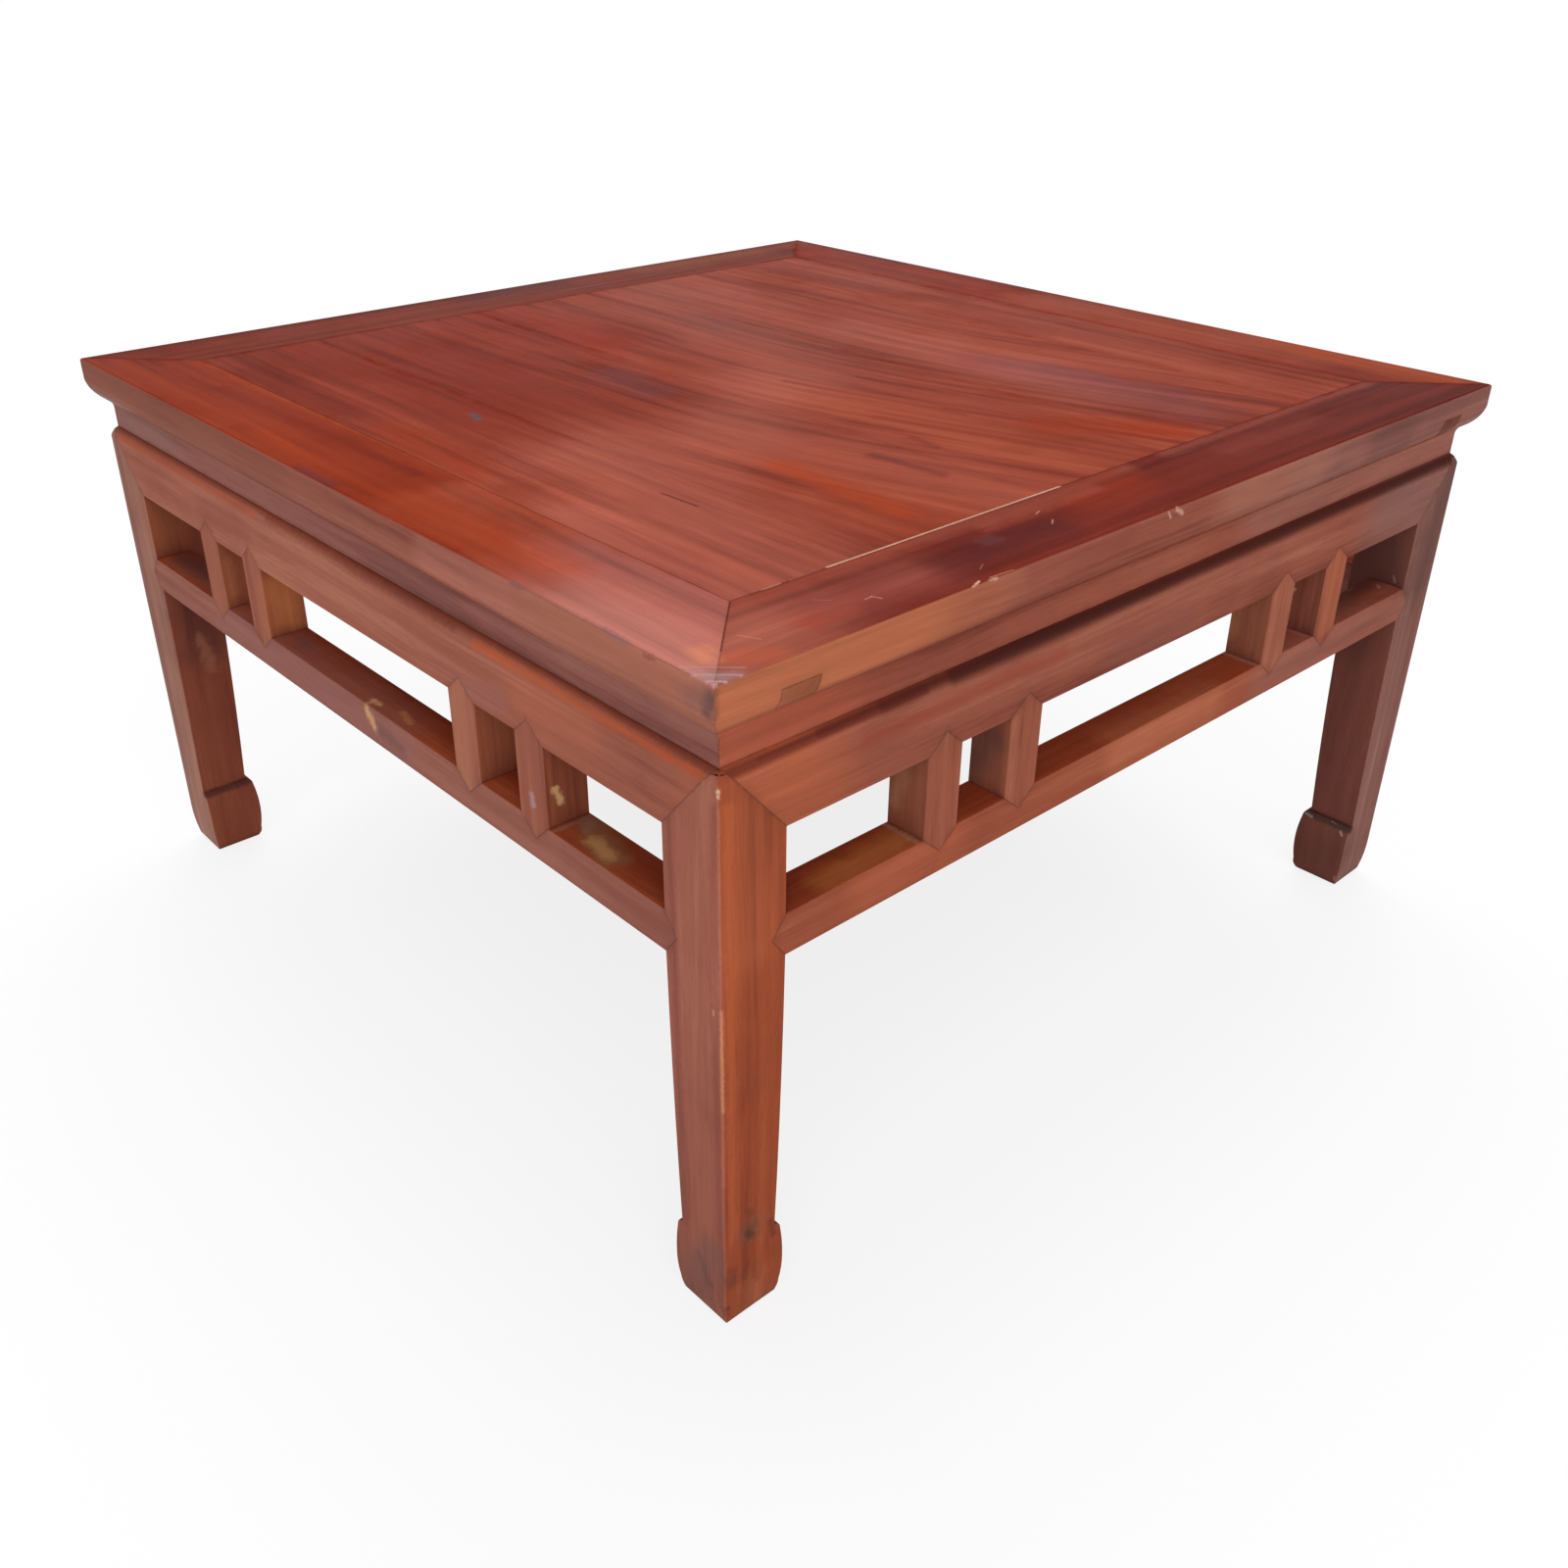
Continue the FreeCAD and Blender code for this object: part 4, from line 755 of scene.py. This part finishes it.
def find_lines():
    """The arrises that no neighbour touches, as (owner, start, end, weight), and each piece's joint lines."""
    names = sorted(NODES)
    meshes = {n: welded(n) for n in names}
    trees = {n: BVHTree.FromBMesh(meshes[n]) for n in names}
    boxes = {n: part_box(n) for n in names}

    def on_surface(owner, point):
        for other in names:
            low, high = boxes[other]
            if other != owner and all(low[i] - REACH < point[i] < high[i] + REACH for i in range(3)):
                if trees[other].find_nearest(point, REACH)[0] is not None:
                    return other
        return None

    def weight_of(name, a, b):
        middle, run = (a + b) / 2, (b - a).normalized()
        out = abs(middle.x), abs(middle.y)
        if name.startswith("leg_"):
            if abs(run.z) > 0.7 and min(out) > CORNER_FROM:
                return CORNER_WEIGHT
            if max(a.z, b.z) < 1e-3:
                return SOLE_WEIGHT
        return RIM_WEIGHT if min(a.z, b.z) > RIM_HEIGHT and max(out) > RIM_FROM else ARRIS_WEIGHT

    arrises, joints = [], {n: [] for n in names}
    for owner, name in enumerate(names):
        for edge in meshes[name].edges:
            if len(edge.link_faces) != 2 or not edge.is_convex or edge.calc_face_angle() < ARRIS_ANGLE:
                continue
            a, b = (v.co.copy() for v in edge.verts)
            run = (b - a).normalized()
            free = half = 0
            for share in (0.15, 0.5, 0.85):
                point = a.lerp(b, share)
                hits = []
                for face in edge.link_faces:
                    inward = face.normal.cross(run)
                    if inward.dot(face.calc_center_median() - point) < 0:
                        inward.negate()
                    hits.append(on_surface(name, point + inward * STEP_IN) is not None)
                free += not any(hits)
                half += hits[0] != hits[1]
            if free >= 2:
                arrises.append((owner, a, b, weight_of(name, a, b)))
            elif half >= 2 and (b - a).length > SHORTEST:
                joints[name].append((a, b))
                neighbour = on_surface(name, (a + b) / 2)
                if neighbour:
                    joints[neighbour].append((a, b))
    for name, found in joints.items():
        kept = []
        for a, b in sorted(found, key=lambda line: -(line[1] - line[0]).length):
            if not all(any(distance(p, c, d) < SAME_LINE for c, d in kept) for p in (a, b, (a + b) / 2)):
                kept.append((a, b))
        joints[name] = kept
    for mesh in meshes.values():
        mesh.free()
    return names, arrises, joints


def make_rounding(lines):
    """One hidden mesh of the arris lines, and the node group that hands their weights to the Bevel."""
    helper = bpy.data.meshes.new("arris_lines")
    points = [tuple(p) for _, a, b, _ in lines for p in (a, b)]
    helper.from_pydata(points, [(2 * i, 2 * i + 1) for i in range(len(lines))], [])
    for label, kind, index in (("owner", "INT", 0), ("weight", "FLOAT", 3)):
        helper.attributes.new(label, kind, "EDGE").data.foreach_set("value", [line[index] for line in lines])
    holder = bpy.data.objects.new("arris_lines", helper)
    bpy.context.scene.collection.objects.link(holder)
    holder.hide_render = True

    tree = bpy.data.node_groups.new("arris_weights", "GeometryNodeTree")
    tree.interface.new_socket("Geometry", in_out="INPUT", socket_type="NodeSocketGeometry")
    tree.interface.new_socket("Owner", in_out="INPUT", socket_type="NodeSocketInt")
    tree.interface.new_socket("Geometry", in_out="OUTPUT", socket_type="NodeSocketGeometry")
    g = Graph(tree)

    def compare(a, operation, b, kind="FLOAT"):
        first = 2 if kind == "INT" else 0
        return g.put("FunctionNodeCompare", {first: a, first + 1: b}, data_type=kind,
                     operation=operation).outputs[0]

    def logic(operation, *values):
        return g.put("FunctionNodeBooleanMath", dict(enumerate(values)), operation=operation).outputs[0]

    given = g.put("NodeGroupInput").outputs
    result = g.put("NodeGroupOutput")
    source = g.put("GeometryNodeObjectInfo", {"Object": holder}).outputs["Geometry"]
    owner = g.put("GeometryNodeInputNamedAttribute", {"Name": "owner"}, data_type="INT").outputs[0]
    other = compare(owner, "NOT_EQUAL", given["Owner"], "INT")
    own = g.put("GeometryNodeDeleteGeometry", {"Geometry": source, "Selection": other},
                domain="EDGE").outputs[0]
    place = g.put("GeometryNodeInputPosition").outputs[0]
    near = g.put("GeometryNodeProximity", {"Geometry": own, "Sample Position": place},
                 target_element="EDGES")
    on_line = compare(near.outputs["Distance"], "LESS_THAN", ON_LINE)
    angle = g.put("GeometryNodeInputMeshEdgeAngle").outputs[0]
    steep = compare(angle, "GREATER_THAN", ARRIS_ANGLE)
    index = g.put("GeometryNodeSampleNearest", {"Geometry": own, "Sample Position": place},
                  domain="EDGE").outputs[0]
    value = g.put("GeometryNodeInputNamedAttribute", {"Name": "weight"}, data_type="FLOAT").outputs[0]
    weight = g.put("GeometryNodeSampleIndex", {"Geometry": own, "Value": value, "Index": index},
                   data_type="FLOAT", domain="EDGE").outputs[0]
    # a piece without lines of its own reads a weight of 0, and keeps all its edges sharp
    real = compare(weight, "GREATER_THAN", 0.05)
    chosen = logic("AND", logic("AND", on_line, steep), real)
    weight = g.math("MULTIPLY", weight, chosen)
    stored = g.put("GeometryNodeStoreNamedAttribute", {
        "Geometry": given["Geometry"], "Name": "bevel_weight_edge", "Value": weight},
        data_type="FLOAT", domain="EDGE").outputs[0]
    smooth = g.put("GeometryNodeSetShadeSmooth", {"Geometry": stored, "Shade Smooth": True},
                   domain="FACE").outputs[0]
    soft = logic("OR", logic("NOT", compare(angle, "GREATER_THAN", SHARP_ANGLE)), chosen)
    final = g.put("GeometryNodeSetShadeSmooth", {"Geometry": smooth, "Shade Smooth": soft},
                  domain="EDGE").outputs[0]
    g.tree.links.new(final, result.inputs[0])
    return tree


def round_arrises():
    tree = make_rounding(ARRISES)
    for owner, name in enumerate(NAMES):
        stack = NODES[name].modifiers
        weld = stack.new("weld", "WELD")
        weld.merge_threshold = 1e-5
        planar = stack.new("planar", "DECIMATE")
        planar.decimate_type = "DISSOLVE"
        planar.angle_limit = FLAT_ANGLE
        weights = stack.new("weights", "NODES")
        weights.node_group = tree
        weights["Socket_1"] = owner
        bevel = stack.new("round", "BEVEL")
        bevel.limit_method = "WEIGHT"
        bevel.width = ROUND
        bevel.segments = 3
        bevel.use_clamp_overlap = False
        bevel.miter_outer = "MITER_SHARP"
        shade = stack.new("shade", "WEIGHTED_NORMAL")
        shade.keep_sharp = True
        shade.weight = 50


# ------------------------------------ every piece gets its wood
NAMES, ARRISES, JOINTS = find_lines()

# the numbers are seeds: each piece is cut from another place in the wood
for rail, axis, seed, broad in (("long_rail_left", "y", 3, 1.0), ("long_rail_right", "y", 7, 1.3),
                                ("short_rail_front", "x", 12, 1.2), ("short_rail_back", "x", 17, 1.0)):
    dress(rail, axis, seed, "rail_" + rail.split("_")[-1], "band_x", "band_y", broad=broad,
          roughness=0.27, joint_strength=0.2)
for number, (seed, bend) in enumerate(((23, 0.0), (20, 0.3), (20, 0.3), (20, 0.3), (35, 0.04)), 1):
    dress(f"panel_board_{number}", "y", seed, "panel", bend=(bend, -0.03), rings=0.25,
          pith=(0.02, -0.09, 0.27), ring_width=0.011, broad=1.1, streaks=1.7,
          roughness=0.27, joint_strength=0.1)
for count, place in enumerate(("front", "middle", "back")):
    dress(f"batten_{place}", "x", 41 + 3 * count, "batten", roughness=0.6)
for count, side in enumerate(("front", "right", "back", "left")):
    axis = "x" if side in ("front", "back") else "y"
    by_x, by_y = ("strut_in", "strut_out") if axis == "x" else ("strut_out", "strut_in")
    dress("waist_" + side, axis, 52 + 5 * count, "waist_y", "waist_x", "waist_y", streaks=1.0)
    dress("apron_" + side, axis, 73 + 5 * count, "bevel", "apron_x", "apron_y", streaks=0.95)
    dress("stretcher_" + side, axis, 94 + 5 * count, "stretcher_top", "stretcher_x", "stretcher_y",
          streaks=0.95)
    for number in range(1, 5):
        seed = 120 + 9 * count + 2 * number
        dress(f"strut_{side}_{number}", "z", seed, "strut_in", by_x, by_y, streaks=1.0)
for count, (corner, by_x, by_y) in enumerate((
        ("front_left", "leg_x", "leg_y"), ("front_right", "leg_dark_x", "leg_dark_y"),
        ("back_right", "leg_plain", "leg_plain"), ("back_left", "leg_pale_x", "leg_inner_y"))):
    dress("leg_" + corner, "z", 160 + 4 * count, "leg_plain", by_x, by_y, streaks=0.85)
round_arrises()

# ------------------------------------ floor, light and camera
FAR = 300.0  # metres from the middle of the floor to its end
FLOOR_GREY = 0.90
PLAIN_WHITE = 0.82  # share of the seen floor that shows no shadow
GREY, GLOW, FALL = 0.16, 0.79, -13.0  # light above, what the horizon adds, how fast that falls off
OVERHEAD = 0.33  # what the light high up adds
FAR_CORNER, PATCH = (0.643, 0.766), 0.13  # where a paler patch lies, and what it adds


def make_floor():
    """White ground that keeps a pale shadow."""
    corners = [(-FAR, -FAR, 0), (FAR, -FAR, 0), (FAR, FAR, 0), (-FAR, FAR, 0)]
    mesh = bpy.data.meshes.new("floor")
    mesh.from_pydata(corners, [], [(0, 1, 2, 3)])
    floor = bpy.data.objects.new("floor", mesh)
    bpy.context.scene.collection.objects.link(floor)
    material = bpy.data.materials.new("floor_white")
    material.use_nodes = True
    material.node_tree.nodes.clear()
    g = Graph(material.node_tree)
    matt = g.put("ShaderNodeBsdfDiffuse", {"Color": (FLOOR_GREY, FLOOR_GREY, FLOOR_GREY, 1.0)})
    white = g.put("ShaderNodeEmission", {"Color": (1.0, 1.0, 1.0, 1.0), "Strength": 1.0})
    share = g.math("MULTIPLY", g.directly_seen(), PLAIN_WHITE)
    both = g.put("ShaderNodeMixShader", {0: share, 1: matt.outputs[0], 2: white.outputs[0]})
    g.put("ShaderNodeOutputMaterial", {0: both.outputs[0]})
    mesh.materials.append(material)
    return floor


def make_world():
    """Soft light all round: white at the floor's end, grey above it, and a little lighter overhead."""
    world = bpy.data.worlds.new("studio")
    bpy.context.scene.world = world
    world.use_nodes = True
    world.node_tree.nodes.clear()
    g = Graph(world.node_tree)
    x, y, lift = g.split(g.put("ShaderNodeTexCoord").outputs["Generated"])
    fall = g.math("POWER", 2.718, g.math("MULTIPLY", g.math("MAXIMUM", lift, 0.0), FALL))
    level = g.math("MULTIPLY_ADD", fall, GLOW, GREY)
    level = g.math("ADD", level, g.ramp(lift, 0.45, 0.95, 0.0, OVERHEAD))

    # a paler patch behind the far corner
    toward = g.math("ADD", g.math("MULTIPLY", x, FAR_CORNER[0]), g.math("MULTIPLY", y, FAR_CORNER[1]))
    flat = g.math("MULTIPLY_ADD", lift, g.math("MULTIPLY", lift, -1.0), 1.0)
    toward = g.math("DIVIDE", toward, g.math("SQRT", g.math("MAXIMUM", flat, 1e-4)))
    patch = g.math("MULTIPLY", g.ramp(toward, 0.93, 1.0, 0.0, PATCH), g.ramp(lift, 0.06, 0.2))
    patch = g.math("MULTIPLY", patch, g.ramp(lift, 0.5, 0.75, 1.0, 0.0))
    level = g.math("ADD", level, patch)

    # the picture's ground is white, also where something shiny mirrors it
    level = g.math("MAXIMUM", level, g.directly_seen())
    background = g.put("ShaderNodeBackground", {"Color": g.join(level, level, level), "Strength": 1.0})
    g.put("ShaderNodeOutputWorld", {0: background.outputs[0]})


def sun(name, towards, share, angle):
    """A soft distant lamp that adds share to a white surface facing it. angle is in degrees."""
    lamp = bpy.data.lights.new(name, "SUN")
    lamp.energy = share * pi
    lamp.angle = radians(angle)
    lamp_object = bpy.data.objects.new(name, lamp)
    bpy.context.scene.collection.objects.link(lamp_object)
    lamp_object.rotation_mode = "QUATERNION"
    lamp_object.rotation_quaternion = Vector(towards).to_track_quat("Z", "Y")
    lamp_object.location = Vector(towards) * 5


def make_camera():
    """The lens and the place are fitted to the table's edges in the picture."""
    camera = bpy.data.cameras.new("camera")
    camera.sensor_width = 36.0
    camera.lens = 34.21
    camera.shift_x = 0.00545
    camera.shift_y = -0.01763
    camera.clip_start, camera.clip_end = 0.05, 2 * FAR
    holder = bpy.data.objects.new("camera", camera)
    bpy.context.scene.collection.objects.link(holder)
    holder.matrix_world = Matrix((
        (0.73986521, 0.32468429, -0.58921947, -0.84118741),
        (-0.67272789, 0.36494180, -0.64362619, -0.92522126),
        (0.00605550, 0.87258100, 0.48843191, 0.80872489),
        (0.0, 0.0, 0.0, 1.0)))
    return holder


floor = make_floor()
make_world()
sun("key", (-0.45, -0.60, 0.66), 0.50, 60)
sun("back", (0.30, 0.33, 0.895), 0.53, 44)
bpy.context.scene.camera = make_camera()
bpy.context.scene.view_settings.view_transform = "Standard"
